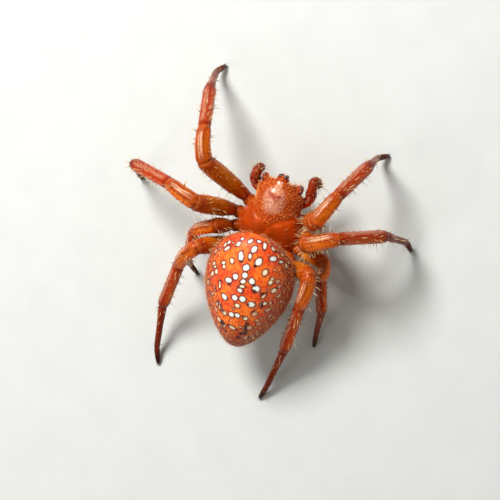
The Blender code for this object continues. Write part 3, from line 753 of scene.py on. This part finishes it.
FAINT_SPOTS = (
    (277.9, 281.5, 2.1, 1.8, 0), (285.4, 284, 1.2, 1, 0), (279.2, 286.6, 1.8, 1.5, 0),
    (278.4, 296.1, 1.9, 1.7, 0), (268, 289.5, 1.2, 1.1, 0), (214.8, 285.9, 1.1, 0.9, 0),
    (211.9, 296.9, 0.8, 0.7, 0), (210.4, 279.3, 0.8, 0.7, 0), (270.5, 303.3, 1.5, 1.7, 0),
    (268, 310, 2.9, 1.7, -10), (215.9, 309.1, 2.2, 1.1, 40), (233.3, 308.7, 1.3, 1.2, 0),
    (254.7, 314.1, 3, 2.2, -45), (269.7, 316.2, 2.2, 1.1, -10), (260.9, 318.7, 1.3, 1, 0),
    (257.2, 320.3, 2.2, 1.4, -20), (259, 324.1, 2.9, 1.2, -10), (224.2, 325.7, 1.8, 1.1, 20),
    (240.2, 327, 1.2, 1, 0), (249.1, 327.8, 3, 1.9, 30), (245.6, 337.7, 2.2, 1.6, 0),
    (209.1, 291.3, 0.7, 0.7, 0), (210, 284.7, 0.7, 0.7, 0), (213.7, 302.1, 0.7, 0.7, 0),
    (212.9, 306.2, 0.7, 0.7, 0),
)
DARK_MARKS = (
    (241.5, 261.5, 1.2, 1, 0), (255.3, 266.1, 1.5, 1.2, -40), (229, 284, 2.2, 1.5, 0),
    (254.1, 291.5, 2.3, 1.7, 40), (227.4, 299, 0.7, 0.7, 0), (248.5, 304.7, 1.1, 0.9, 0),
    (221.7, 281.2, 2.3, 0.7, 20), (253.7, 285.7, 1.5, 1, 30), (264.5, 293.3, 3.5, 0.7, -8),
    (261.9, 305.4, 0.9, 1.2, 0), (260.9, 293.6, 1, 1.3, 0), (253.1, 311.4, 2.8, 1, -40),
    (222.4, 322.7, 2.7, 1.8, 50), (221.7, 327, 1.7, 1.2, 50), (244.8, 328.2, 2.3, 3.8, 10),
    (242.1, 333.8, 2.8, 1.8, -20), (246.4, 332.1, 2.2, 1.8, 0), (247.8, 323.6, 1.8, 1, 60),
    (239, 337.3, 2.5, 1, 20), (248.9, 337.7, 2, 0.8, -30), (224.9, 330.3, 2.2, 0.8, 50),
    (221.7, 307.9, 0.7, 2.2, -10), (222.8, 311.2, 0.8, 1.5, -20), (243.1, 316.6, 1, 1.7, -30),
)
PALE_SPOTS = ((1.0, WHITE_SPOTS), (0.7, CREAM_SPOTS), (0.42, FAINT_SPOTS))
FAR = 9.0
abdomen_tree = BVHTree.FromPolygons(abdomen_rings.reshape(-1, 3).tolist(),
                                    ring_quads(ABDOMEN_ROWS, ABDOMEN_SIDES)[2].tolist())


def seen_at(px, py):
    """The point of the abdomen that the photograph shows at a pixel, or None beside it."""
    return abdomen_tree.ray_cast(camera_place, sight_line(px, py).normalized())[0]


def spot_distance(spot):
    """How far the abdomen's points lie outside one oval, and less than 0 inside it."""
    px, py, half_length, half_width, tilt = spot
    cos, sin = math.cos(math.radians(tilt)), math.sin(math.radians(tilt))
    centre = seen_at(px, py)
    long_end = seen_at(px + half_length * cos, py + half_length * sin)
    wide_end = seen_at(px - half_width * sin, py + half_width * cos)
    if not (centre and long_end and wide_end):
        print("spot beside the abdomen", spot)
        return np.full(abdomen_rings.shape[:2], FAR)
    away = abdomen_rings - np.array(centre)
    smallest = min((long_end - centre).length, (wide_end - centre).length)
    used, reach = 0.0, 0.0
    for half in (np.array(long_end - centre), np.array(wide_end - centre)):
        part = away @ half / half.dot(half)
        used = used + part[..., None] * half
        reach = reach + part * part
    depth = np.linalg.norm(away - used, axis=-1) / (4 * smallest)
    return (np.sqrt(reach + depth * depth) - 1.0) * smallest


nearest = np.full(abdomen_rings.shape[:2], FAR)
ink = nearest
paleness = np.zeros_like(nearest)
for share, spots in PALE_SPOTS:
    for spot in spots:
        distance = spot_distance(spot)
        paleness = np.where(distance < nearest, share, paleness)
        nearest = np.minimum(nearest, distance)
for mark in DARK_MARKS:
    ink = np.minimum(ink, spot_distance(mark))
skin.add(abdomen_rings, backwards, ABDOMEN, (0.05, 10.1), (13.5, 7.0), along=c,
         upper=np.cos(angle), fuzzy=0.08 + 0.92 * ease((np.abs(np.sin(angle)) - 0.15) / 0.75),
         spot=nearest, paleness=paleness, ink=ink)
print("abdomen, points so far", skin.count)

# %% [markdown]
# ## Spinnerets
# Under the rear of the abdomen a short cone ends in blunt teats that draw the silk.

# %% A cone with four teats
SPINNERET_SHARE, SPINNERET_RADIUS, SPINNERET_LENGTH = -0.70, 0.46, 0.55
root = Vector(abdomen_points(np.array(SPINNERET_SHARE), np.array(np.pi)))
ahead = Vector(abdomen_points(np.array(SPINNERET_SHARE + 0.1), np.array(np.pi)))
back = (root - ahead).normalized()
out = Vector((0.0, back.z, -back.y)).normalized()
tip = root + out * (0.3 + SPINNERET_LENGTH * 0.5)
CONE_ROWS = 12
CONE_PROFILE = ((0.0, 1.0), (0.6, 0.95), (0.85, 0.85), (1.0, 0.6))
TEAT_PROFILE = ((0.0, 1.0), (0.5, 0.9), (0.9, 0.65), (1.0, 0.4))


def short_cone(start, end, radius, profile, sides, place, size, **notes):
    t = np.linspace(0.0, 1.0, CONE_ROWS)
    path = np.array([start.lerp(end, share) for share in t])
    rings, ways = tube(path, radius * read_profile(profile, t), sides, up=(1.0, 0.0, 0.0))
    skin.add(rings, ways[:, None], CUTICLE, place, size, **notes)


short_cone(root - out * 0.25, tip, SPINNERET_RADIUS, CONE_PROFILE, 20, (17.75, 6.8), (1.0, 1.0),
           along=0.3, bristly=0.6)
for k in range(4):
    across, behind = (1 if k % 2 else -1), (1 if k < 2 else -1)
    foot = tip - out * 0.15 + Vector((0.17 * across, 0, 0)) + back * 0.15 * behind
    short_cone(foot, foot + (out + 0.35 * back).normalized() * (0.32 + 0.05 * behind), 0.15,
               TEAT_PROFILE, 10, (17.75 + 0.5 * k, 7.9), (0.45, 0.5), along=0.9, bristly=1.5)
print("all points", skin.count)

# %% [markdown]
# ## The cuticle's finish
# The cuticle is hard and glossy. A leg changes colour along its length: amber thighs with
# red-brown ends, red-orange shins and nearly black feet, and paler soft skin at the joints.
# One colour ramp over the place along the leg gives that, and noise breaks it up. On the knee
# and the shin the lower and side faces are painted a bright orange glow, as of light shining
# through the cuticle, and the top is darker red-brown, partly the leg's own dorsal band and
# partly painted shade; the downward faces of legs and carapace get a painted shade as well. A
# pale streak with a dark line in it runs along the back of the knee and the shin, partly the
# leg's own pale stripe and partly a painted highlight. Small pits round the roots of the
# bristles come from a cell pattern in both the colour and the bump. The head has a frosted,
# bare patch with dark dots.

# %% Materials for skin
LEG_TONES = (
    (0.00, (158, 58, 8)), (0.60, (176, 74, 8)), (0.93, (150, 50, 10)), (0.98, (188, 112, 56)),
    (1.02, (136, 44, 8)), (1.12, (186, 84, 4)), (1.40, (206, 112, 8)), (1.75, (204, 102, 6)),
    (1.90, (186, 74, 8)), (1.965, (150, 46, 8)), (1.985, (196, 106, 40)), (2.01, (140, 40, 8)),
    (2.10, (198, 90, 8)), (2.30, (216, 110, 12)), (2.75, (212, 100, 10)), (2.90, (186, 68, 10)),
    (2.985, (176, 80, 24)), (3.01, (130, 32, 8)), (3.10, (178, 52, 4)), (3.50, (182, 50, 4)),
    (3.85, (158, 36, 4)), (3.97, (108, 18, 4)), (4.05, (134, 34, 3)), (4.50, (118, 28, 3)),
    (4.93, (90, 18, 3)), (5.08, (88, 24, 5)), (5.40, (56, 18, 8)), (5.75, (28, 11, 9)),
    (6.00, (16, 10, 9)),
)


def make_cuticle():
    g = Finish("cuticle", 0.3, Subsurface_Weight=0.15, Subsurface_Scale=0.25 * MM,
               Specular_IOR_Level=0.27, Specular_Tint=(1.0, 0.52, 0.30, 1.0),
               Coat_Roughness=0.14)
    along, upper, side = g.attribute("along"), g.attribute("upper"), g.attribute("side")
    head, bare = g.attribute("downy"), g.attribute("bare")
    stops = [(place / 6.0, tone(*colour)) for place, colour in LEG_TONES]
    base = g.node("ValToRGB", {"Fac": along / 6.0}, stops=stops)
    cloud, grain = g.noise(1.6, 3.0), g.noise(11.0, 3.0)
    cells, grit = g.cells(4.2), g.cells(7.0)
    round_leg = g.node("CombineXYZ", {"X": along * 1.6, "Y": side * 6.0, "Z": upper * 6.0})
    stripes = g.noise(1.0, 3.0, round_leg)

    on_leg = along.smooth(1.0, 1.1)
    thigh = along.band(1.3, 1.8, 1.92, 1.97)
    tibia = along.band(3.03, 3.15, 3.80, 3.97)
    limb = along.band(2.03, 2.15, 2.85, 2.97) + tibia * 0.6
    window = along.band(2.06, 2.35, 2.62, 2.92) + tibia * 0.5
    on_top = upper.smooth(0.60, 0.90)
    off_line = (side + cloud * 0.5 - 0.25).math("ABSOLUTE")
    strands = stripes.smooth(0.40, 0.56, 0.25, 1.0)
    # painted highlight: the pale streak on the upper face is partly the leg's own stripe and
    # partly a painted highlight
    streak_and_highlight = off_line.fade(0.14, 0.42) * strands * on_top * window
    line = off_line.fade(0.02, 0.10) * on_top * window
    pits = cells.fade(0.13, 0.25) * on_leg
    flecks = grit.fade(0.14, 0.26) * (cloud.smooth(0.42, 0.55) * on_leg + thigh)
    colour = g.paint(
        base,
        (cloud.smooth(0.45, 0.75, 0.0, 0.35), (150, 38, 8)),
        # painted light: the lower and side faces of knee and shin glow bright orange as if lit
        # through the cuticle; the top is darker red-brown, partly the leg's dorsal band and partly
        # painted shade
        (upper.fade(0.25, 0.85, 0.8) * limb, (240, 104, 8)),
        (on_top * limb * 0.7, (134, 36, 8)),
        # pale stripe and painted highlight along the top of knee and shin
        (streak_and_highlight * 0.9, (232, 180, 142)),
        (line * 0.6, (110, 34, 12)),
        (stripes.smooth(0.50, 0.66) * on_leg * 0.5, (104, 24, 6)),
        (pits * 0.7, (110, 20, 8)),
        (flecks * 0.45, (250, 186, 110)),
    )

    thorax = g.mix(cloud.smooth(0.36, 0.68), tone(184, 64, 8), tone(158, 54, 8))
    granules = g.mix(grit.smooth(0.15, 0.50), tone(226, 118, 38), tone(150, 42, 8))
    frosted = g.mix(grain.smooth(0.35, 0.62), tone(216, 168, 138), tone(186, 104, 70))
    dots = grit.fade(0.20, 0.42) * cloud.smooth(0.40, 0.54)
    colour = g.mix(head.smooth(0.02, 0.12), colour, thorax)
    colour = g.mix(head.smooth(0.3, 0.8) * 0.85, colour, granules)
    colour = g.mix(bare * 0.9, colour, g.paint(frosted, (dots, (116, 32, 24))))
    colour = g.paint(
        colour,
        (g.attribute("stain") * grain.smooth(0.32, 0.52, 0.45, 1.0), (150, 22, 14)),
        # painted shade: the downward-facing sides of legs, palps and carapace are darker
        (upper.fade(-0.9, 0.0, 0.35), (120, 36, 8)),
    )

    height = grain * 0.5 - pits * 0.6 + cloud * 0.5 + stripes * on_leg * 0.8
    height = height + grit.fade(0.0, 0.5) * (head + bare * 0.4) + bare * cells * 0.9
    bump = g.node("Bump", {"Height": height, "Distance": 0.014 * MM, "Strength": 0.8})
    gloss = grain.smooth(0.3, 0.8, 0.26, 0.42) + head * 0.10 - bare * 0.07 + on_leg * 0.02
    wet = bare * cells.smooth(0.1, 0.5, 1.0, 0.4) + on_leg * 0.05
    return g.wire(Base_Color=colour, Roughness=gloss, Coat_Weight=wet, Normal=bump)


def make_abdomen_skin():
    g = Finish("abdomen_skin", 0.5, Subsurface_Weight=0.10, Subsurface_Scale=0.3 * MM,
               Specular_IOR_Level=0.35)
    upper, along, pale = g.attribute("upper"), g.attribute("along"), g.attribute("paleness")
    outside = g.attribute("spot")
    wobble = g.noise(5.0, 2.0) - 0.5
    cloud, speckle, mottle = g.noise(0.75, 2.0), g.noise(7.0, 3.0), g.noise(3.4, 5.0)
    sockets, dots = g.cells(6.5), g.cells(2.7)
    lines = g.cells(5.5, feature="DISTANCE_TO_EDGE").fade(0.0, 0.09)
    flank = upper.fade(0.35, 0.88)
    sides = upper.fade(0.62, 0.94, 0.9) + along.fade(-0.7, -0.3, 0.5)
    clear = outside.smooth(0.05, 0.15) * sides
    edge = outside + wobble * 0.10 + 0.028
    body = edge.fade(-0.02, 0.03)
    black = (g.attribute("ink") + wobble * 0.12).fade(-0.02, 0.05)
    ground = g.mix(cloud.smooth(0.42, 0.60), tone(244, 80, 14), tone(255, 120, 22))
    colour = g.paint(
        ground,
        (mottle.smooth(0.48, 0.58, 0.0, 0.62), (206, 44, 10)),
        (sockets.fade(0.16, 0.26, 0.6), (128, 26, 12)),
        (flank * 0.85, (168, 38, 12)),
        (upper.fade(-0.5, 0.1), (110, 34, 16)),
        (along.fade(-0.95, -0.50, 0.72), (98, 34, 18)),
        (mottle.fade(0.30, 0.42, 0.4), (255, 150, 44)),
        (speckle.smooth(0.55, 0.72) * (0.25 + flank * 0.5), (246, 168, 84)),
        (lines * (flank * 0.75 + 0.12), (104, 18, 10)),
        (dots.fade(0.28, 0.46) * clear * 0.7, (112, 20, 12)),
        (dots.fade(0.17, 0.25) * clear * 0.95, (240, 190, 128)),
        (edge.fade(0.04, 0.13) * pale.smooth(0.1, 0.7, 0.4, 0.9), (92, 14, 26)),
    )
    spot_colour = g.paint(
        tone(222, 136, 80),
        (pale.smooth(0.25, 0.7), (250, 232, 186)),
        (pale.smooth(0.7, 1.0), (240, 242, 230)),
        (edge.smooth(-0.11, -0.02, 0.0, 0.35), (196, 196, 184)),
    )
    colour = g.mix(body * pale.smooth(0.0, 0.6, 0.7, 1.0), colour, spot_colour)
    colour = g.paint(colour, (black * 0.9, (44, 12, 26)))
    height = speckle * 0.6 + body * 0.5 - lines * (0.2 + flank) - black * 0.4
    bump = g.node("Bump", {"Height": height, "Distance": 0.02 * MM, "Strength": 0.8})
    gloss = speckle.smooth(0.3, 0.8, 0.42, 0.58)
    return g.wire(Base_Color=colour, Roughness=gloss, Normal=bump)


skin_mesh = skin.mesh("spider_skin", [make_cuticle(), make_abdomen_skin()])
skin_piece = add_object("spider_skin", skin_mesh)
skin_nodes = [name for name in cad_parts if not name.startswith("eyes")]
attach(skin_piece, BODY)
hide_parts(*skin_nodes)
print("skin triangles", sum(len(face.vertices) - 2 for face in skin_mesh.polygons))

# %% [markdown]
# ## Eyes
# Eight small, dark red-brown eyes with a wet shine: four on the middle knob, looking up and
# forward, and two side by side on each corner of the head. Each is a ball sunk half in its
# knob.

# %% Eight eyes
EYES = ((0.17, -2.36, 4.62, 0.145), (0.16, -2.43, 4.27, 0.130), (1.25, -2.10, 4.22, 0.135),
        (1.29, -1.84, 4.23, 0.125))
WELD = 0.0005


def make_eye_finish():
    g = Finish("eye_wet", 0.06, Coat_Weight=1.0, Coat_Roughness=0.03)
    depth = g.noise(6.0, 1.0)
    colour = g.mix(depth.smooth(0.4, 0.7), tone(38, 9, 11), tone(98, 24, 22))
    return g.wire(Base_Color=colour, Roughness=depth.smooth(0.2, 0.8, 0.04, 0.10))


def plain_piece(name, bm, material, slot, *nodes):
    """Turns a bmesh in millimetres into a finished piece that rides on the body."""
    bmesh.ops.remove_doubles(bm, verts=bm.verts, dist=WELD)
    bmesh.ops.recalc_face_normals(bm, faces=bm.faces)
    bmesh.ops.scale(bm, vec=(MM, MM, MM), verts=bm.verts)
    mesh = bpy.data.meshes.new(name)
    bm.to_mesh(mesh)
    bm.free()
    mesh.materials.append(material)
    mesh.shade_smooth()
    piece = add_object(name, mesh)
    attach(piece, BODY)
    if nodes:
        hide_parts(*nodes)
    return piece


bm = bmesh.new()
for x, y, z, radius in EYES:
    for sign in (1.0, -1.0):
        place = Matrix.Translation(from_carapace((sign * x, y, z)))
        bmesh.ops.create_uvsphere(bm, u_segments=28, v_segments=18, radius=radius, matrix=place)
plain_piece("eyes", bm, make_eye_finish(), "eyes", "eyes_median", "eyes_lateral_left",
            "eyes_lateral_right")
print("eyes", 2 * len(EYES))

# %% [markdown]
# ## Fangs and claws
# Horn parts are separate, dark and pointed. A fang folds inwards under each jaw, and each foot
# ends in a pair of claws with a smaller hook between them. All are the same curved horn,
# drawn along an arc and tapered to its point.

# %% Curved horns
HORN_STEPS = 9
HORN_POINT = 0.004


def horn(bm, start, way, bend, length, radius, sides=8):
    """A pointed horn that starts along `way` and curves towards `bend`."""
    shares = np.linspace(0.0, 1.0, HORN_STEPS)
    path = [start + way * (length * (t - 0.35 * t * t)) + bend * (length * 0.6 * t * t)
            for t in shares.tolist()]
    radii = radius * (1.0 - shares) ** 0.7 + HORN_POINT
    rings, _ = tube(np.array(path), radii, sides, up=bend)
    rows = [[bm.verts.new(p) for p in ring] for ring in rings]
    for a, b in zip(rows, rows[1:]):
        for i in range(sides):
            bm.faces.new((a[i - 1], a[i], b[i], b[i - 1]))
    bm.faces.new(rows[0])
    bm.faces.new(rows[-1])


def make_horn_finish(name, dark, light):
    g = Finish(name, 0.25, Coat_Weight=0.3)
    streaks = g.noise(12.0, 2.0)
    colour = g.mix(streaks.smooth(0.35, 0.75), tone(*dark), tone(*light))
    return g.wire(Base_Color=colour, Roughness=streaks.smooth(0.2, 0.8, 0.18, 0.34))

bm = bmesh.new()
for sign in (1.0, -1.0):
    start = from_carapace((sign * CHELICERA_X * 0.9, CHELICERA_Y[1] + 0.05,
                           CHELICERA_TOP_Z - CHELICERA_LENGTH + 0.1))
    way = Vector((-sign * 0.35, 0.1, -1.0)).normalized()
    horn(bm, start, way, Vector((-sign * 0.9, 0.45, 0.1)), 0.42, 0.13, sides=12)
horn_finish = make_horn_finish("fang_horn", (26, 8, 8), (90, 24, 12))
plain_piece("fangs", bm, horn_finish, "chelicerae")

bm = bmesh.new()
for number, side in POSE:
    joints = leg_joints(number, side)
    way = (joints[-1] - joints[-2]).normalized()
    across = way.cross(Vector((0.0, 0.0, 1.0))).normalized()
    level = Vector((way.x, way.y, 0.0)).normalized()
    for spread, size in ((0.6, 0.26), (-0.6, 0.26), (0.0, 0.17)):
        start = joints[-1] + across * spread * 0.09 - way * 0.03
        forward = (way + across * spread * 0.5 + Vector((0.0, 0.0, 0.55))).normalized()
        horn(bm, start, forward, Vector((0.0, 0.0, -0.38)) + level * 0.1, size, 0.036)
horn_finish = make_horn_finish("claw_horn", (14, 8, 8), (52, 20, 12))
claws = plain_piece("claws", bm, horn_finish, "leg_tarsus")
print("claws lowest point", round(min(v.co.z for v in claws.data.vertices) / MM, 3), "mm")

# %% [markdown]
# ## A coat made by Geometry Nodes
# Bristles and hairs repeat by the thousand, so Geometry Nodes set them. The tree scatters
# points on the skin where a stored density allows it, turns one bent, tapered hair into the
# lie of the coat at each point, and makes all of it real mesh. Each hair also gets a tiny
# patch of the flat map at its root's place, where its colour goes when the model is baked.

# %% The coat tree
COAT_SIZES = {
    "Float": ("Spacing", "Density", "Length", "Length Spread", "Thickness", "Lift", "Disorder",
              "Curl", "Sink"),
    "Int": ("Sides", "Joints", "Seed"),
}
COAT_INPUTS = {"Geometry": ("Skin",), "String": ("Where",), "Material": ("Finish",), **COAT_SIZES}
PATCH = 0.003


def make_coat_tree():
    tree = bpy.data.node_groups.new("coat", "GeometryNodeTree")
    names = {}
    for kind, labels in COAT_INPUTS.items():
        for label in labels:
            socket = tree.interface.new_socket(label, in_out="INPUT",
                                               socket_type="NodeSocket" + kind)
            names[label] = socket.identifier
    tree.interface.new_socket("Coat", in_out="OUTPUT", socket_type="NodeSocketGeometry")
    g = Graph(tree, "Geometry")
    entry = tree.nodes.new("NodeGroupInput")
    given = {label: Value(g, entry.outputs[label]) for label in names}

    def chance(low, high, salt):
        inputs = {2: low, 3: high, 8: given["Seed"] + salt}
        return g.node("FunctionNodeRandomValue", inputs, out=1, data_type="FLOAT")

    def store(geometry, name, value, kind="FLOAT", domain="POINT"):
        inputs = {"Geometry": geometry, "Name": name, "Value": value}
        return g.node("StoreNamedAttribute", inputs, data_type=kind, domain=domain)

    def stored(name, kind="FLOAT_VECTOR"):
        return g.node("InputNamedAttribute", {"Name": name}, data_type=kind)

    def scaled(vector, scale):
        return g.vector("SCALE", vector, scale=scale)

    hair = g.node("MeshCone", {"Vertices": given["Sides"], "Side Segments": given["Joints"],
                               "Radius Top": given["Thickness"] * 0.10,
                               "Radius Bottom": given["Thickness"] * 0.5, "Depth": 1.0})
    flat = Value(g, hair.socket.node.outputs["UV Map"])
    hair = store(hair, "patch", flat, "FLOAT2", "CORNER")
    height = g.node("SeparateXYZ", {0: g.node("InputPosition")}, out="Z")
    hair = store(hair, "reach", height)
    shift = g.node("CombineXYZ", {"X": given["Curl"] * height * height})
    hair = g.node("SetPosition", {"Geometry": hair, "Offset": shift})

    spread = g.node("DistributePointsOnFaces", distribute_method="POISSON", inputs={
        "Mesh": given["Skin"], "Distance Min": given["Spacing"], "Density Max": given["Density"],
        "Density Factor": stored(given["Where"], "FLOAT"), "Seed": given["Seed"]})
    outward = Value(g, spread.socket.node.outputs["Normal"])
    corners = {0: (-1.0,) * 3, 1: (1.0,) * 3, 8: given["Seed"] + 7}
    jitter = g.node("FunctionNodeRandomValue", corners, data_type="FLOAT_VECTOR")
    along = g.vector("NORMALIZE", stored("lie"))
    way = g.vector("ADD", scaled(along, given["Lift"].math("COSINE")),
                   scaled(outward, given["Lift"].math("SINE")))
    way = g.vector("ADD", way, scaled(jitter, given["Disorder"]))
    turn = g.node("FunctionNodeAxesToRotation", {"Primary Axis": way, "Secondary Axis": along},
                  primary_axis="Z", secondary_axis="X")
    size = given["Length"] * (1 + chance(-1.0, 1.0, 3) * given["Length Spread"])
    coat = store(spread, "tint", chance(0.0, 1.0, 5))
    coat = g.node("SetPosition", {"Geometry": coat, "Offset": scaled(outward, 0 - given["Sink"])})
    coat = g.node("InstanceOnPoints", {"Points": coat, "Instance": hair, "Rotation": turn,
                                       "Scale": g.node("CombineXYZ", {0: size, 1: size, 2: size})})
    coat = g.node("RealizeInstances", {"Geometry": coat})
    spot = g.vector("ADD", stored("OFBake"), scaled(stored("patch"), PATCH))
    coat = store(coat, "OFBake", spot, "FLOAT2", "CORNER")
    coat = g.node("SetMaterial", {"Geometry": coat, "Material": given["Finish"]})
    leave = tree.nodes.new("NodeGroupOutput")
    tree.links.new(coat.socket, leave.inputs["Coat"])
    return tree, names


coat_tree, coat_inputs = make_coat_tree()
# Hairs that would pass through the floor are pressed nearly flat just above it
FLOOR_CLEAR, PRESSED = 0.008 * MM, 0.1
KEPT_NOTES = {"reach", "tint", "OFBake", "position", "material_index", "sharp_face"}
HAIR_ROUGHNESS = 0.4


def coat_piece(name, where, slot, finish, *sizes):
    """Grows one coat on the skin and turns it into a plain mesh."""
    grower = add_object(name, skin_mesh.copy())
    modifier = grower.modifiers.new("coat", "NODES")
    modifier.node_group = coat_tree
    labels = ("Where", "Finish", *COAT_SIZES["Float"], *COAT_SIZES["Int"])
    for label, value in zip(labels, (where, finish, *sizes)):
        modifier[coat_inputs[label]] = value
    grown = grower.evaluated_get(bpy.context.evaluated_depsgraph_get())
    mesh = bpy.data.meshes.new_from_object(grown)
    grower.modifiers.remove(modifier)
    grower.data = mesh
    mesh.name = name
    for label in [a.name for a in mesh.attributes if not a.name.startswith(".")]:
        if label not in KEPT_NOTES:
            mesh.attributes.remove(mesh.attributes[label])
    places = np.empty(len(mesh.vertices) * 3)
    mesh.vertices.foreach_get("co", places)
    heights = places[2::3]
    low = heights < FLOOR_CLEAR
    heights[low] = FLOOR_CLEAR + (heights[low] - FLOOR_CLEAR) * PRESSED
    mesh.vertices.foreach_set("co", places)
    mesh.shade_smooth()
    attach(grower, BODY)
    print(name, len(mesh.polygons), "faces, map", [layer.name for layer in mesh.uv_layers])


def make_hair_finish(name, root, tip, light, paling=0.30):
    """Hairs are dark in their socket and paler towards the tip, each a little different."""
    g = Finish(name, HAIR_ROUGHNESS, Specular_IOR_Level=0.4)
    reach = g.attribute("reach")
    pale_end = g.attribute("tint").smooth(0.4, 1.0) * reach.smooth(0.1, paling + 0.2)
    colour = g.paint(tone(*root), (reach.smooth(0.02, paling), tip), (pale_end, light))
    gloss = reach.smooth(0.0, 1.0, HAIR_ROUGHNESS, HAIR_ROUGHNESS * 0.8)
    return g.wire(Base_Color=colour, Roughness=gloss)


# %% [markdown]
# ## Bristles on the legs and palps, hairs on the head and abdomen
# Stiff bristles stand out from the legs, red-brown in the lower half and cream at the tip, with
# finer hairs lying between them. On the head the hairs are short, pale orange and dense, and
# lie forwards and out to the sides. The abdomen has a thin coat that shows as a pale edge in
# profile. A finish names the colours at the root, at the tip and of the palest hairs. A coat
# names where it grows, its slot and its finish, and then its sizes in the order of COAT_SIZES.

# %% Four coats
bristle = make_hair_finish("bristle_cream", (136, 34, 8), (228, 196, 130), (238, 226, 176), 0.50)
fine_hair = make_hair_finish("hair_amber", (140, 44, 10), (206, 100, 34), (236, 160, 84))
head_hair = make_hair_finish("hair_orange", (150, 40, 8), (232, 122, 40), (246, 178, 92))
down = make_hair_finish("hair_buff", (160, 50, 14), (236, 158, 92), (252, 218, 166))
coat_piece("leg_bristles", "bristly", "leg_tibia", bristle, 0.14 * MM, 27e6, 0.42 * MM, 0.35,
           0.098, math.radians(80), 0.16, 0.05, 0.02 * MM, 4, 3, 3)
coat_piece("leg_hairs", "bristly", "leg_tibia", fine_hair, 0.10 * MM, 60e6, 0.13 * MM, 0.35,
           0.11, math.radians(28), 0.22, 0.10, 0.01 * MM, 3, 3, 5)
coat_piece("head_hairs", "downy", "carapace", head_hair, 0.072 * MM, 170e6, 0.15 * MM, 0.35,
           0.19, math.radians(16), 0.18, 0.10, 0.01 * MM, 4, 3, 7)
coat_piece("abdomen_hairs", "fuzzy", "abdomen", down, 0.095 * MM, 75e6, 0.25 * MM, 0.4,
           0.075, math.radians(34), 0.30, -0.10, 0.01 * MM, 3, 3, 9)

# %% [markdown]
# ## Floor and light
# A plain pale floor and soft light, the main softbox high on the upper left of the view, so
# that the shadows fall to the lower right as they do in the photograph.

# %% Floor
FLOOR_SIZE = 400.0
bm = bmesh.new()
bmesh.ops.create_grid(bm, x_segments=1, y_segments=1, size=FLOOR_SIZE * MM)
floor_mesh = bpy.data.meshes.new("floor")
bm.to_mesh(floor_mesh)
bm.free()
g = Finish("floor_paper", 0.8)
paper = g.mix(g.noise(0.4, 3.0), tone(196, 197, 194), tone(206, 207, 203))
floor_mesh.materials.append(g.wire(Base_Color=paper))
floor = add_object("floor", floor_mesh)

# %% Softboxes and sky


def softbox(name, direction, distance, size, power):
    """An area light that looks at the middle of the animal."""
    light = bpy.data.lights.new(name, "AREA")
    light.shape = "DISK"
    light.size = size * MM
    light.energy = power
    lamp = add_object(name, light)
    place = AIM + direction.normalized() * distance
    lamp.location = place * MM
    lamp.rotation_mode = "QUATERNION"
    lamp.rotation_quaternion = (AIM - place).to_track_quat("-Z", "Y")


softbox("key", cam_up * 0.78 - cam_right * 0.62 + toward_camera, 130.0, 50.0, 0.235)
softbox("fill", cam_up * -0.5 - cam_right * 0.9 + toward_camera * 0.7, 150.0, 90.0, 0.045)
sky = bpy.data.worlds.new("studio")
sky.use_nodes = True
backdrop = sky.node_tree.nodes["Background"].inputs
backdrop["Color"].default_value = (0.95, 0.96, 0.90, 1.0)
backdrop["Strength"].default_value = 0.31
bpy.context.scene.world = sky
